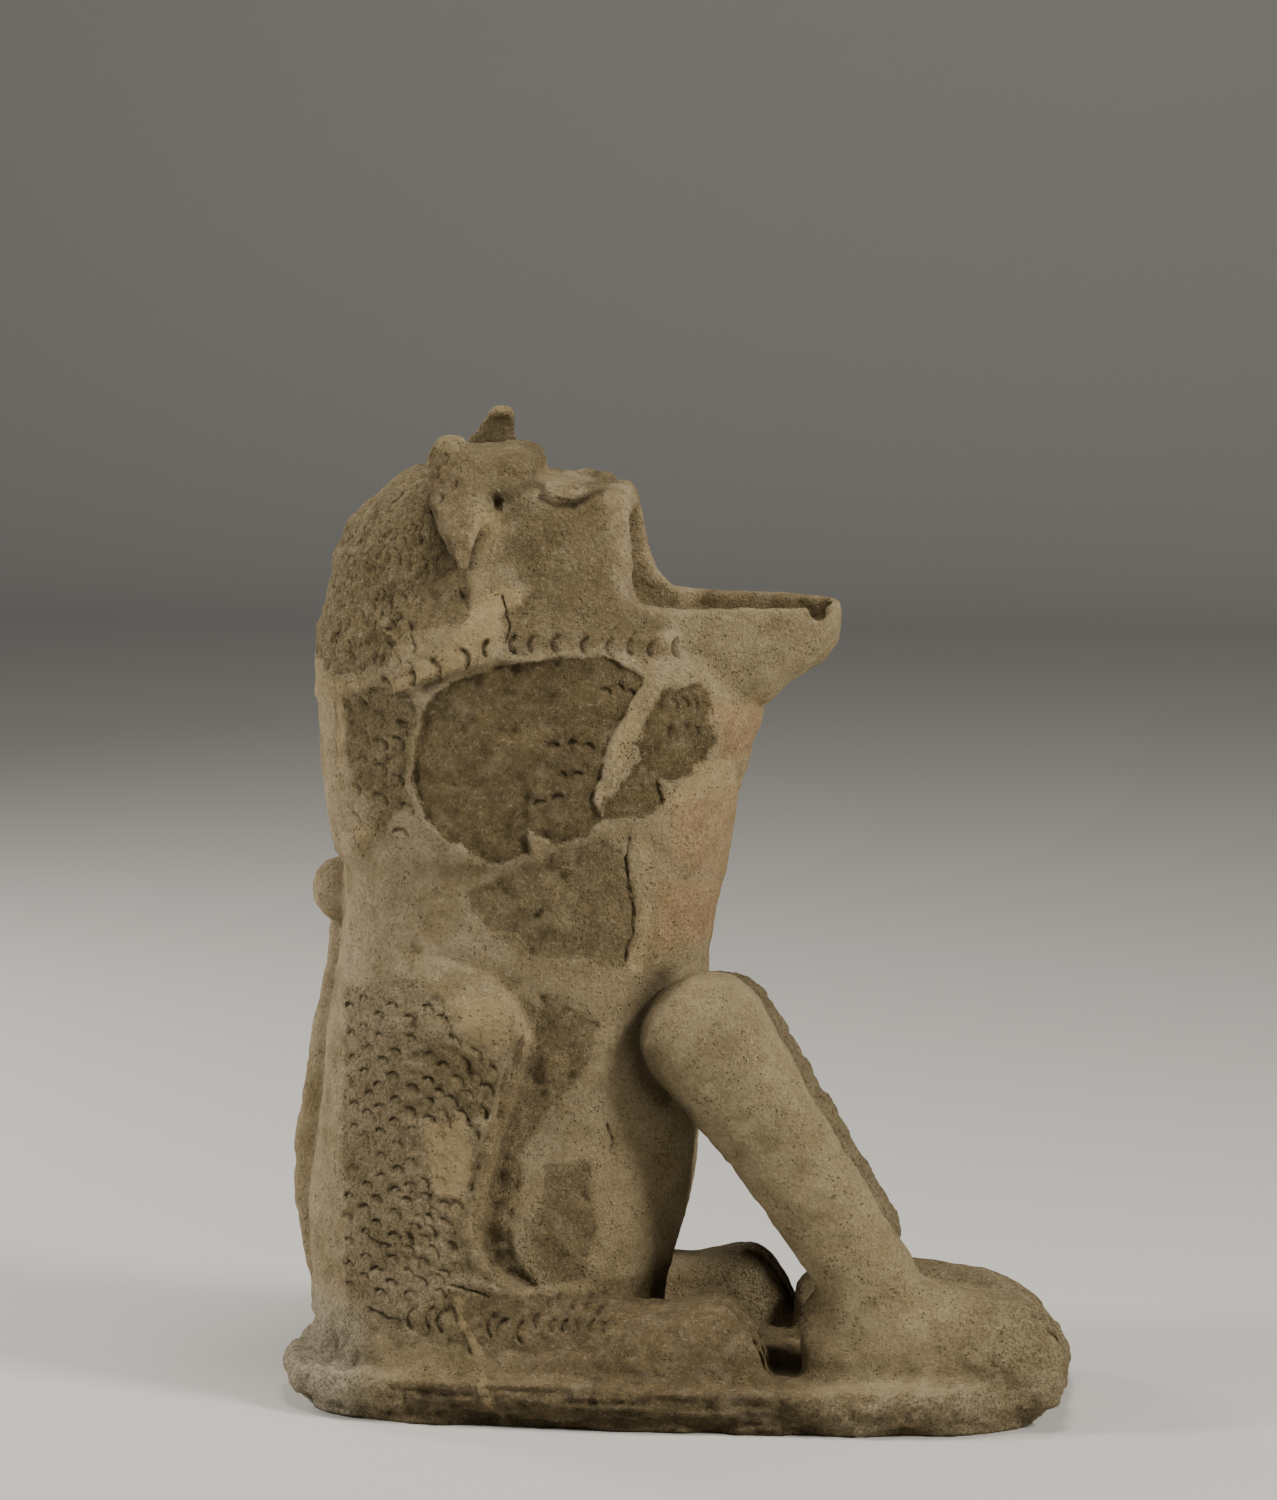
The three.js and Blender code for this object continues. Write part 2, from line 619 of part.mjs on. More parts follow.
// Thins a closed mesh: the edge whose loss moves the surface least goes first, so flat clay ends up
// with large triangles and ears, lips and toes keep small ones.
function thin({ points, faces }, target) {
  const count = points.length / 3;
  const point = (v) => new THREE.Vector3().fromArray(points, 3 * v);
  const around = Array.from({ length: count }, () => new Set());
  faces.forEach((face, f) => face.forEach((v) => around[v].add(f)));
  const alive = new Uint8Array(faces.length).fill(1);
  const age = new Int32Array(count);
  const normalOf = (a, b, c) => b.clone().sub(a).cross(c.clone().sub(a));

  // Each vertex sums the squared distance to its faces' planes, as the ten numbers of a quadric.
  const quadric = Array.from({ length: count }, () => new Float64Array(10));
  for (const face of faces) {
    const [a, b, c] = face.map(point);
    const n = normalOf(a, b, c);
    const area = n.length() / 2;
    n.normalize();
    const w = -n.dot(a);
    const row = [n.x, n.y, n.z, w];
    for (const v of face)
      for (let i = 0, q = 0; i < 4; i++)
        for (let j = i; j < 4; j++) quadric[v][q++] += area * row[i] * row[j];
  }
  const costAt = (q, p) =>
    q[0] * p.x * p.x + q[4] * p.y * p.y + q[7] * p.z * p.z + q[9] +
    2 * (q[1] * p.x * p.y + q[2] * p.x * p.z + q[5] * p.y * p.z) +
    2 * (q[3] * p.x + q[6] * p.y + q[8] * p.z);

  const matrix = new THREE.Matrix3();
  function bestPlace(q, a, b) {
    const places = [a, b, a.clone().lerp(b, 0.5)];
    matrix.set(q[0], q[1], q[2], q[1], q[4], q[5], q[2], q[5], q[7]);
    const size = Math.abs(q[0]) + Math.abs(q[4]) + Math.abs(q[7]);
    if (Math.abs(matrix.determinant()) > 1e-5 * size ** 3) {
      const p = new THREE.Vector3(-q[3], -q[6], -q[8]).applyMatrix3(matrix.invert());
      if (p.distanceTo(places[2]) < a.distanceTo(b)) places.push(p);
    }
    const costs = places.map((p) => costAt(q, p));
    const k = costs.indexOf(Math.min(...costs));
    return [Math.max(costs[k], 0), places[k]];
  }

  const queue = new Queue();
  const lengthShare = 0.002; // keeps flat areas from being thinned in a ragged order
  function offer(u, v) {
    const q = quadric[u].map((value, i) => value + quadric[v][i]);
    const [a, b] = [point(u), point(v)];
    const [cost, place] = bestPlace(q, a, b);
    queue.push([cost + lengthShare * a.distanceToSquared(b), u, v, age[u] + age[v], place, q]);
  }
  const neighbours = (v) => {
    const found = new Set();
    for (const f of around[v]) for (const w of faces[f]) if (w !== v) found.add(w);
    return found;
  };
  // How far a triangle is from a sliver: twice its area over its longest side squared
  const plumpness = (normal, corners) =>
    normal.length() / Math.max(...corners.map((p, i) => p.distanceToSquared(corners[(i + 1) % 3])));

  // Moving vertex u to place must not turn any face over or make a sliver.
  function keepsShape(u, other, place) {
    for (const f of around[u]) {
      if (faces[f].includes(other)) continue;
      const before = faces[f].map(point);
      const after = before.map((p, i) => (faces[f][i] === u ? place : p));
      const [n, m] = [normalOf(...before), normalOf(...after)];
      if (n.dot(m) < 0.3 * n.length() * m.length()) return false;
      const fullness = plumpness(m, after);
      if (fullness < 0.08 && fullness < plumpness(n, before)) return false;
    }
    return true;
  }

  const offerAll = () =>
    faces.forEach((face, f) => {
      if (!alive[f]) return;
      face.forEach((u, i) => {
        const v = face[(i + 1) % 3];
        if (u < v) offer(u, v);
      });
    });

  let left = faces.length;
  let leftAtOffer = Infinity;
  while (left > target) {
    if (!queue.items.length) {
      if (left === leftAtOffer) break;
      leftAtOffer = left;
      offerAll();
    }
    const [, u, v, stamp, place, q] = queue.pop();
    if (age[u] < 0 || age[v] < 0 || stamp !== age[u] + age[v]) continue;
    const [nu, nv] = [neighbours(u), neighbours(v)];
    if ([...nu].filter((w) => nv.has(w)).length !== 2) continue;
    if (!keepsShape(u, v, place) || !keepsShape(v, u, place)) continue;
    for (const f of [...around[v]]) {
      if (faces[f].includes(u)) {
        alive[f] = 0;
        left--;
        faces[f].forEach((w) => around[w].delete(f));
      } else {
        faces[f][faces[f].indexOf(v)] = u;
        around[u].add(f);
      }
    }
    place.toArray(points, 3 * u);
    quadric[u] = q;
    age[v] = -1;
    const ring = neighbours(u);
    age[u] += count;
    for (const w of ring) offer(u, w);
  }
  return { points, faces: faces.filter((_, f) => alive[f]) };
}

const wasm = await Module();
wasm.setup();

function solidFrom(geometry) {
  const bare = new THREE.BufferGeometry().setAttribute("position", geometry.getAttribute("position"));
  if (geometry.index) bare.setIndex(geometry.index);
  const merged = mergeVertices(bare, 1e-4);
  return new wasm.Manifold(
    new wasm.Mesh({
      numProp: 3,
      vertProperties: Float32Array.from(merged.attributes.position.array),
      triVerts: Uint32Array.from(merged.index.array),
    }),
  );
}

function geometryFrom(solid) {
  const mesh = solid.getMesh();
  const geometry = new THREE.BufferGeometry();
  geometry.setAttribute("position", new THREE.BufferAttribute(mesh.vertProperties, 3));
  geometry.setIndex(new THREE.BufferAttribute(mesh.triVerts, 1));
  return geometry;
}

function claySolid() {
  const margin = 2 * cell;
  const reach = [Math.max(toeEnd * h, -plinthBack) + margin, plinthHalfWidth + margin];
  const top = plinthThickness + Math.max(...ears.map((ear) => ear.top)) * h + margin;
  const skin = findSkin(
    clay,
    [-reach[0], -reach[1], -2 * margin],
    [reach[0], reach[1], top],
  );
  settle(skin, clay);
  const thinned = thin(skin, faceCount);
  const geometry = new THREE.BufferGeometry();
  geometry.setAttribute("position", new THREE.BufferAttribute(Float32Array.from(thinned.points), 3));
  geometry.setIndex(thinned.faces.flat());
  const underground = new THREE.BoxGeometry(2 * reach[0] + margin, 2 * reach[1] + margin, 60);
  underground.translate(0, 0, -30);
  return solidFrom(geometry).subtract(solidFrom(underground));
}

// The tool that leaves one reed mark: a crescent with its belly towards -X and its working end at -Z
function reedTool() {
  const steps = 6;
  const outer = [];
  const inner = [];
  for (let i = 0; i <= steps; i++) {
    const angle = THREE.MathUtils.degToRad(180 + markSweep * (i / steps - 0.5));
    const rim = new THREE.Vector2(Math.cos(angle), Math.sin(angle)).multiplyScalar(markRadius);
    rim.x += markRadius / 2;
    outer.push(rim);
    if (i > 0 && i < steps)
      inner.unshift(rim.clone().setX(rim.x + markWidth * Math.sin((Math.PI * i) / steps)));
  }
  const clearance = 8;
  const tool = new THREE.ExtrudeGeometry(new THREE.Shape([...outer, ...inner]), {
    depth: markDepth + clearance,
    bevelEnabled: false,
  });
  return tool.translate(0, 0, -markDepth);
}

// A reed mark pressed square to the skin, on the side of the cheek
function reedMark(side, x, z) {
  let [outside, inside] = [2 * plinthHalfWidth, 0];
  for (let i = 0; i < 30; i++) {
    const middle = (outside + inside) / 2;
    if (clay(x, side * middle, z) > 0) outside = middle;
    else inside = middle;
  }
  const y = side * outside;
  const step = 1;
  const slope = (dx, dy, dz) => clay(x + dx, y + dy, z + dz) - clay(x - dx, y - dy, z - dz);
  const normal = new THREE.Vector3(slope(step, 0, 0), slope(0, step, 0), slope(0, 0, step));
  normal.normalize();
  const forward = new THREE.Vector3(1, 0, 0).addScaledVector(normal, -normal.x).normalize();
  const up = new THREE.Vector3().crossVectors(normal, forward);
  const place = new THREE.Matrix4().makeBasis(forward, up, normal).setPosition(x, y, z);
  return solidFrom(reedTool().applyMatrix4(place));
}

function reedMarks() {
  const marks = [];
  for (const side of [-1, 1])
    for (let i = 0; i < markCount; i++) {
      const x = mix(markEnds[0], markEnds[1], i / (markCount - 1));
      marks.push(reedMark(side, x * h, plinthThickness + markRow(x) * h));
    }
  return wasm.Manifold.union(marks);
}

const lion = claySolid().subtract(reedMarks());
const geometry = geometryFrom(lion);
geometry.computeVertexNormals();

const firedClay = new THREE.MeshStandardMaterial({ color: 0xb3a184, roughness: 0.95, metalness: 0 });
const statue = new THREE.Mesh(geometry, firedClay);
statue.name = "seated_lion";
const part = new THREE.Group();
part.add(statue);

export default part;
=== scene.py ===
import math

import bpy
import numpy as np
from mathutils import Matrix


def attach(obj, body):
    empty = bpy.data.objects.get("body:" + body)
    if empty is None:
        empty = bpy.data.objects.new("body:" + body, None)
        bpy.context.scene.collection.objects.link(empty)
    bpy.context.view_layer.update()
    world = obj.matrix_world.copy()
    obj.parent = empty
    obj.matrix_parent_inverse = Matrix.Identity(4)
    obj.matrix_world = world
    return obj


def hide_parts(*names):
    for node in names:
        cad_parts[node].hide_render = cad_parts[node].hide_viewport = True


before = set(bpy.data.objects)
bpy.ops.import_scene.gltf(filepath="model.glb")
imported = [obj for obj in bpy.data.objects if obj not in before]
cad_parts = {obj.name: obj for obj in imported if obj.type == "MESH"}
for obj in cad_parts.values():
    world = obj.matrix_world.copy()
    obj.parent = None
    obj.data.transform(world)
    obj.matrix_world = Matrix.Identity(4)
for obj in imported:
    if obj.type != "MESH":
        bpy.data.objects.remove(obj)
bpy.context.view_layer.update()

import openvdb

# The statue: a lion that sits up on its haunches, head thrown back and jaws wide open, on a plinth.
# Figure and plinth were built up by hand from one body of coarse clay, smoothed wet, and fired.
# Lengths are mm, and the figure's own measures are hundredths of its height, as in the CAD model.
figure_height = 760
plinth_back, plinth_front, plinth_half_width, plinth_thickness = -316.9, 316.2, 159, 38
h = figure_height / 100


def mix(a, b, t):
    return a + (b - a) * t


# 0 at low and below it, 1 at high and beyond; low may also be the larger one
def smoothstep(low, high, v):
    t = np.clip((v - low) / (high - low), 0, 1)
    return t * t * (3 - 2 * t)


# Signed distances: negative in the clay. join, meet and cut round their corner over the length k.
def join(a, b, k):
    t = np.clip(0.5 + (b - a) / (2 * k), 0, 1)
    return mix(b, a, t) - k * t * (1 - t)


def meet(a, b, k):
    return -join(-a, -b, k)


def cut(a, b, k):
    return meet(a, -b, k)


# A smooth curve through rows of [place, value, value, ...]
def curve(rows):
    rows = np.array(rows, float)
    place = rows[:, 0]
    before, after = np.vstack([rows[:1], rows[:-1]]), np.vstack([rows[1:], rows[-1:]])
    slopes = (after - before) / (after[:, :1] - before[:, :1])
    at = np.linspace(place[0], place[-1], 401)
    i = np.clip(np.searchsorted(place, at, side="right") - 1, 0, len(rows) - 2)
    span = (place[i + 1] - place[i])[:, None]
    t = (at[:, None] - place[i][:, None]) / span
    a, b, da, db = rows[i], rows[i + 1], slopes[i] * span, slopes[i + 1] * span
    table = a + t * (da + t * (3 * (b - a) - 2 * da - db + t * (2 * (a - b) + da + db)))
    return lambda v, k=0: np.interp(v, at, table[:, k + 1])


def oval(u, v, a, b, fullness):
    q = (np.abs(u / a) ** fullness + np.abs(v / b) ** fullness) ** (1 / fullness)
    return np.hypot(u, v) * (1 - 1 / np.maximum(q, 1e-4))


def ellipsoid(x, y, z, rx, ry, rz):
    q = np.sqrt((x / rx) ** 2 + (y / ry) ** 2 + (z / rz) ** 2)
    return np.sqrt(x * x + y * y + z * z) * (1 - 1 / np.maximum(q, 1e-4))


def rounded_box(x, y, z, hx, hy, hz, r):
    dx, dy, dz = np.abs(x) - hx + r, np.abs(y) - hy + r, np.abs(z) - hz + r
    outside = np.sqrt(np.maximum(dx, 0) ** 2 + np.maximum(dy, 0) ** 2 + np.maximum(dz, 0) ** 2)
    return outside + np.minimum(np.maximum(np.maximum(dx, dy), dz), 0) - r


# A rolled limb from a to b, [x, y, z, radius] each
def roll(x, y, z, a, b, fullness=2):
    ux, uy, uz = b[0] - a[0], b[1] - a[1], b[2] - a[2]
    along = (x - a[0]) * ux + (y - a[1]) * uy + (z - a[2]) * uz
    t = np.clip(along / (ux * ux + uy * uy + uz * uz), 0, 1)
    in_plane = np.hypot(x - a[0] - ux * t, z - a[2] - uz * t)
    across = np.abs(y - a[1] - uy * t)
    return (in_plane ** fullness + across ** fullness) ** (1 / fullness) - mix(a[3], b[3], t)


# Torso and neck, upright ovals: [height, back, front, half width]
torso_rows = curve([
    [-2, -39.0, -1.9, 15.5], [4.5, -39.0, -1.8, 15.5], [10, -39.5, -0.5, 15.5],
    [14.7, -39.8, 0.8, 15.4], [21.3, -39.1, 1.7, 15.3], [27.9, -38.2, 2.1, 15.3],
    [37.1, -37.0, 2.6, 15.5], [42.8, -36.3, 2.9, 15.6], [47.1, -35.8, 3.6, 15.7],
    [51.4, -35.6, 4.5, 15.8], [60.1, -35.8, 6.0, 15.9], [64.5, -36.0, 7.3, 15.9],
    [69.1, -36.2, 8.6, 15.6], [76, -36.4, 5.0, 15.2], [80, -36.4, 0.0, 14.6]])
# The mane, a thicker coat of clay over the neck, and the height of its lower edge from back to chest
mane_rows = curve([
    [50, -35.9, 4.4, 16.0], [55, -36.9, 5.2, 16.4], [59.3, -37.6, 5.9, 16.6],
    [65.8, -38.2, 7.4, 16.3], [69.1, -38.4, 8.6, 15.9], [76, -38.6, 5.0, 15.3]])
mane_foot = curve([
    [-40, 52.8], [-26, 53.2], [-17, 54.2], [-10.6, 56], [-2.5, 57], [1.5, 53.5], [6, 49]])
# Cranium and upper jaw, and the height of their lower edge from the back to the throat
head_rows = curve([
    [68, -38.4, 6.0, 16.2], [73.3, -38.6, 4.2, 16.4], [78.7, -38.2, 1.0, 15.6],
    [82.1, -37.4, -1.3, 14.6], [85.1, -36.9, -1.9, 13.8], [89.5, -34.8, -2.6, 12.4],
    [91.6, -32.0, -3.0, 11.2], [93.7, -29.4, -3.6, 9.8], [95.5, -26.0, -4.4, 8.6]])
head_foot = curve([
    [-40, 69.8], [-36.2, 70.1], [-29.2, 71.2], [-24.9, 73.2], [-21.2, 74.3], [-16.6, 75.4],
    [-6.7, 75.1], [-2.6, 75.1], [1.3, 74.2], [3.3, 72.1]])
# Lower jaw, level ovals from the throat out to the tip: [x, underside, rim, half width]
jaw_rows = curve([
    [-7.4, 66, 80.5, 12], [-2.1, 66.5, 80.5, 11], [3.2, 67.6, 80.5, 9.6], [9.5, 69.8, 80.5, 7.9],
    [11.3, 71.5, 80.5, 7.4], [14.9, 74.0, 80.5, 6.2], [17.6, 76.2, 80.2, 4.9]])
# Each ear, a leaf pressed on edge: its side, stand, spread, top, and [height, back edge, front edge]
ears = [
    (-1, 13.7, 0.44, 98.25, curve([
        [84, -21.2, -20.2], [85.7, -21.9, -20.3], [87.1, -22.9, -20.1], [89.4, -24.1, -19.2],
        [91.3, -24.7, -18.2], [92.4, -24.9, -18.7], [93.85, -25.1, -19.5], [95, -25.4, -20.1],
        [96.3, -25.2, -20.6], [98, -24.4, -21.7], [99, -23.8, -22.3]])),
    (1, 12.9, 0.4, 99.65, curve([
        [84, -21.6, -19.6], [86.5, -24.0, -18.8], [90, -25.6, -18.3], [93, -25.6, -18.2],
        [96, -24.1, -18.6], [97, -23.2, -18.9], [98, -22.5, -19.0], [99.2, -21.6, -19.2],
        [100.2, -20.9, -19.5]])),
]
# Forefeet: [x, top, half width]; hind feet the same
forefoot_rows = curve([
    [14.6, 7.6, 4.2], [19.7, 10.2, 4.9], [26.9, 9.7, 5.4], [33.2, 8.9, 5.8], [36.2, 8.2, 5.8],
    [39.0, 6.8, 5.5], [40.9, 5.0, 4.9], [42.1, 2.9, 4.0]])
hindfoot_rows = curve([
    [-34, 6.0, 2.6], [-24, 7.4, 3.6], [-14.3, 8.8, 5.0], [-6.4, 8.0, 5.2], [-0.6, 7.5, 5.2],
    [4.2, 8.5, 5.3], [6.3, 8.4, 5.2], [7.9, 7.2, 5.0], [9.5, 5.0, 4.6], [10.9, 2.0, 4.0]])
# Front edge of the coat of clay that makes the thigh: [height, x]
thigh_edge = curve([
    [-2, -11], [6, -12.5], [9.2, -14.4], [11.4, -18.0], [14.4, -19.3], [17.6, -18.9],
    [21.9, -18.0], [26.2, -16.8], [30.5, -15.4], [34.8, -14.2], [38, -14.9], [41.6, -17.4],
    [43.6, -22], [44.6, -30], [45, -40]])
# The tail up the spine: [x, height, radius]
tail = [[-37.6, 3, 1.9], [-38.6, 8.8, 1.9], [-39.8, 15.4, 1.9], [-39.7, 22.1, 1.9],
        [-38.2, 30.9, 1.9], [-37.0, 37.5, 1.8], [-36.2, 44.1, 1.7]]


def head_field(x, y, z):
    back, front, half = head_rows(z), head_rows(z, 1), head_rows(z, 2)
    skull = oval(x - (back + front) / 2, y, (front - back) / 2, half, 2.4)
    top = 93.0 + 1.7 * smoothstep(-13, -21, x) - 0.08 * np.maximum(x + 14, 0)
    d = meet(skull, z - top, 2.2)
    return meet(d, head_foot(x) - z, 0.8)


# Negative in the open air between the jaws
def gape_field(x, y, z):
    up = z - 84
    palate = -4.35 - 0.1 * up - (0.011 * up - 0.03) * y
    return meet(palate - x, 80.4 - z, np.clip(4 + 0.2 * y, 2.6, 5.4))


def face_field(x, y, z):
    side = np.abs(y)
    under, rim, half = jaw_rows(x), jaw_rows(x, 1), jaw_rows(x, 2)
    bowl = np.maximum(oval(y, z - rim, half, rim - under, 2.8), z - rim)
    jaw = np.maximum(meet(bowl, x - 16.9, 1.6), -12 - x)
    d = join(head_field(x, y, z), jaw, 2.2)
    gape = gape_field(x, y, z)
    d = cut(d, gape, 0.7)
    trough_half = mix(6.0, np.maximum(half - 1.6, 1.5), smoothstep(-4, 2, x))
    trough = np.maximum(np.maximum(meet(side - trough_half, gape - 2.5, 0.8), x - 15.7), z - 89.8)
    d = cut(d, trough, 0.5)
    d = cut(d, roll(x, y, z, [14.8, -3.6, 79.6, 1.1], [15.4, -7.6, 80.6, 1.1]), 0.3)
    # The hollow under the brow from the eye down to the ear, and a hole in front of the ear
    d = cut(d, roll(x, side, z, [-18.4, 12.2, 91.2, 1.7], [-14.0, 10.6, 93.2, 1.2]), 1.2)
    d = cut(d, ellipsoid(x + 18.3, side - 11.9, z - 91.4, 1.0, 2.2, 1.3), 0.6)
    d = join(d, rounded_box(x + 20.15, y, z - 92.55, 4.95, 8.5, 3.6, 1.9), 0.8)
    return join(d, ellipsoid(x + 10.4, side - 8.7, z - 91.8, 2.8, 1.6, 1.3), 0.5)


def ear_field(x, y, z, ear):
    side, stand, spread, top, edges = ear
    back, front = edges(z), edges(z, 1)
    dy = y * side - stand + spread * (z - 90)
    thickness = 1.6 - 0.08 * np.clip(z - 90, -4, 9)
    leaf = oval(x - (back + front) / 2, dy, (front - back) / 2, thickness, 2.3)
    return meet(meet(leaf, z - top, 0.6), 84.4 - z, 2)


def foot_field(x, y, z, rows, end, wear):
    top, half = rows(x) - wear, rows(x, 1)
    return meet(oval(y, z + 2, half, top + 2, 3), x - end, 1.2)


def toe_grooves(x, y, z, rows, end, wear):
    nearest = np.full(x.shape, 99.0)
    for gap in (-0.5, 0, 0.5):
        across = gap * rows(end, 1)
        start = [end - 6, across * 1.1, rows(end - 6) - wear + 0.2, 0]
        over = [end - 1.6, across, rows(end - 1.6) - wear + 0.2, 0.55]
        nearest = np.minimum(nearest, roll(x, y, z, start, over))
        nearest = np.minimum(nearest, roll(x, y, z, over, [end + 0.3, across * 0.8, -1, 0.55]))
    return nearest


def foreleg_field(x, y, z, joints, set_back, wear):
    shoulder, shin, ankle = [[px, 0, pz, r] for px, pz, r in joints]
    upper = roll(x, y, z, shoulder, shin, 2.7)
    lower = roll(x, y, z, shin, ankle, 2.7)
    foot_x = x + set_back
    foot = meet(foot_field(foot_x, y, z, forefoot_rows, 41.8, wear), 14.2 - foot_x, 1.5)
    leg = join(join(upper, lower, 0.8), foot, 2.4)
    return cut(leg, toe_grooves(foot_x, y, z, forefoot_rows, 41.8, wear), 0.4)


def hindfoot_field(x, y, z, forward, wear):
    foot = foot_field(x - forward, y, z, hindfoot_rows, 10.9, wear)
    grooves = toe_grooves(x - forward, y, z, hindfoot_rows, 10.5, wear)
    return meet(cut(foot, grooves, 0.4), -32 - x, 3)


def body_field(x, y, z):
    back, front, half = torso_rows(z), torso_rows(z, 1), torso_rows(z, 2)
    torso = oval(x - (back + front) / 2, y, (front - back) / 2, half, 2.5)
    on_thigh = smoothstep(0.9, -0.9, x - thigh_edge(z))
    fade = smoothstep(-40, -26, x) * smoothstep(46, 36, z)
    d = torso - 2.4 * fade * on_thigh
    d = cut(d, ellipsoid(x + 13.5, np.abs(y) - 16.6, z - 27, 4.2, 1.2, 12), 1.5)
    back, front, half = mane_rows(z), mane_rows(z, 1), mane_rows(z, 2)
    coat = oval(x - (back + front) / 2, y, (front - back) / 2, half, 2.5)
    d = mix(d, np.minimum(d, coat), smoothstep(-0.8, 1, z - mane_foot(x)))
    return np.maximum(meet(d, z - 78, 1), -2 - z)


def tail_field(x, y, z):
    d = np.full(x.shape, 99.0)
    for (ax, az, ar), (bx, bz, br) in zip(tail, tail[1:]):
        d = np.minimum(d, roll(x, y * 0.85, z, [ax, 0, az, ar], [bx, 0, bz, br]))
    return join(d, ellipsoid(x + 36.3, y, z - 48.7, 3.3, 3.6, 3.5), 0.8)


# Smooth random heights from -1 to 1, in lumps of a size in mm that may differ along x, y and z
def noise(points, size, seed):
    turned = points @ np.array([[0.80, 0.36, 0.48], [-0.60, 0.48, 0.64], [0.0, -0.80, 0.60]])
    p = (points if np.ndim(size) else turned) / size + 37.3 * seed + 500
    whole = np.floor(p).astype(np.int64)
    f = p - whole
    f = f * f * f * (f * (6 * f - 15) + 10)
    total = np.zeros(len(p))
    for corner in range(8):
        bits = np.array([corner & 1, corner >> 1 & 1, corner >> 2 & 1])
        i, j, k = (whole + bits).T
        code = (i * 73856093) ^ (j * 19349663) ^ (k * 83492791) ^ (seed * 2654435761)
        code = ((code ^ (code >> 15)) * 2246822519) & 0xFFFFFFFF
        code = ((code ^ (code >> 13)) * 3266489917) & 0xFFFFFFFF
        share = np.prod(np.where(bits, f, 1 - f), axis=1)
        total += share * ((code >> 8 & 0xFFFF) / 32767.5 - 1)
    return total


# Joins a part on where it can matter, which saves reading it everywhere
def add_part(d, near, points, field, k, *settings):
    if near.any():
        d[near] = join(d[near], field(*(v[near] for v in points), *settings), k)


# Distance to the clay at points in mm, in mm
def clay(points):
    x, y, z = points[:, 0] / h, points[:, 1] / h, (points[:, 2] - plinth_thickness) / h
    here = (x, y, z)
    d = body_field(x, y, z)
    add_part(d, z > 62, here, face_field, 0.9)
    for ear in ears:
        add_part(d, (z > 80) & (x < -14), here, ear_field, 0.5, ear)
    right, left = (z < 46) & (x > -12) & (y <= 0), (z < 46) & (x > -12) & (y > 0)
    legs = (
        (right, 1, [[3.8, 35.4, 6.6], [12.5, 22.8, 5.0], [20.8, 10.6, 4.8]], 0, 0),
        (left, -1, [[3.4, 32.6, 5.9], [11.3, 21.8, 4.8], [18.4, 10.4, 4.6]], 2.6, 2.4))
    for near, turn, joints, set_back, wear in legs:
        add_part(d, near, (x, -turn * y - 10.3, z), foreleg_field, 1.4, joints, set_back, wear)
    add_part(d, (z < 14) & (y <= 0), (x, -y - 14.0, z), hindfoot_field, 1.8, 0, 0)
    add_part(d, (z < 14) & (y > 0), (x, y - 14.0, z), hindfoot_field, 1.8, 0.6, 0.8)
    add_part(d, (z < 56) & (x < -28), here, tail_field, 0.7)
    d = meet(d, -3 - z, 3)
    x, y, z = points.T
    middle, half = (plinth_front + plinth_back) / 2, (plinth_front - plinth_back) / 2
    wall = oval(x - middle, y, half, plinth_half_width, 3.8)
    wall = wall + mix(7, 12, smoothstep(half / 2, half, x - middle)) * smoothstep(23, 0, z)
    low = (z < 30) & (wall < 30) & (wall > -40)
    chips = np.clip(noise(points[low], np.array([38.0, 38.0, 26.0]), 13) + 0.25, 0, 1.2)
    wall[low] += 11 * chips * smoothstep(24, 4, z[low])
    plinth = meet(wall, z - plinth_thickness, 12)
    return np.maximum(join(d * h, plinth, 1.2 * h), -z)


def clay_normals(points):
    step = 0.4
    slope = np.empty_like(points)
    for k in range(3):
        shift = np.zeros(3)
        shift[k] = step
        slope[:, k] = clay(points + shift) - clay(points - shift)
    return slope / np.maximum(np.linalg.norm(slope, axis=1), 1e-9)[:, None]


# The skin is found on a grid of 6 mm, divided to 1.5 mm and slid onto the clay.
cell = 6.0
low = np.array([-348.0, -180.0, -12.0])
count = np.array([117, 61, 139])
axes = [low[k] + cell * np.arange(count[k]) for k in range(3)]
grid_points = np.stack(np.meshgrid(*axes, indexing="ij"), -1).reshape(-1, 3)
distances = np.clip(clay(grid_points), -3 * cell, 3 * cell).reshape(count).astype(np.float32)
volume = openvdb.FloatGrid(background=3 * cell)
volume.copyFromArray(distances)
skin_points, skin_faces = volume.convertToQuads()
skin = bpy.data.meshes.new("clay_skin")
skin.from_pydata((low + cell * skin_points).tolist(), [], skin_faces.tolist())
clay_form = bpy.data.objects.new("clay_form", skin)
bpy.context.collection.objects.link(clay_form)
divide = clay_form.modifiers.new("divide", "SUBSURF")
divide.subdivision_type = "SIMPLE"
divide.levels = divide.render_levels = 2
fine = bpy.data.meshes.new_from_object(clay_form.evaluated_get(bpy.context.evaluated_depsgraph_get()))
clay_form.modifiers.clear()
clay_form.data = fine


def read_points(mesh):
    flat = np.empty(3 * len(mesh.vertices), np.float32)
    mesh.vertices.foreach_get("co", flat)
    return flat.reshape(-1, 3).astype(float)


points = read_points(fine)
for _ in range(3):
    step = 0.4
    d = clay(points)
    slope = np.stack([(clay(points + step * np.eye(3)[k]) - d) / step for k in range(3)], -1)
    move = np.clip(d, -cell / 2, cell / 2) / np.maximum((slope ** 2).sum(1), 0.3)
    points -= slope * move[:, None]
normals = slope / np.maximum(np.linalg.norm(slope, axis=1), 1e-9)[:, None]


# The clay's own surface: uneven from the hand that built it, coarse where it has lost its slip, and
# split along the plinth's side. Broken pieces were set together again with smooth pale fills.

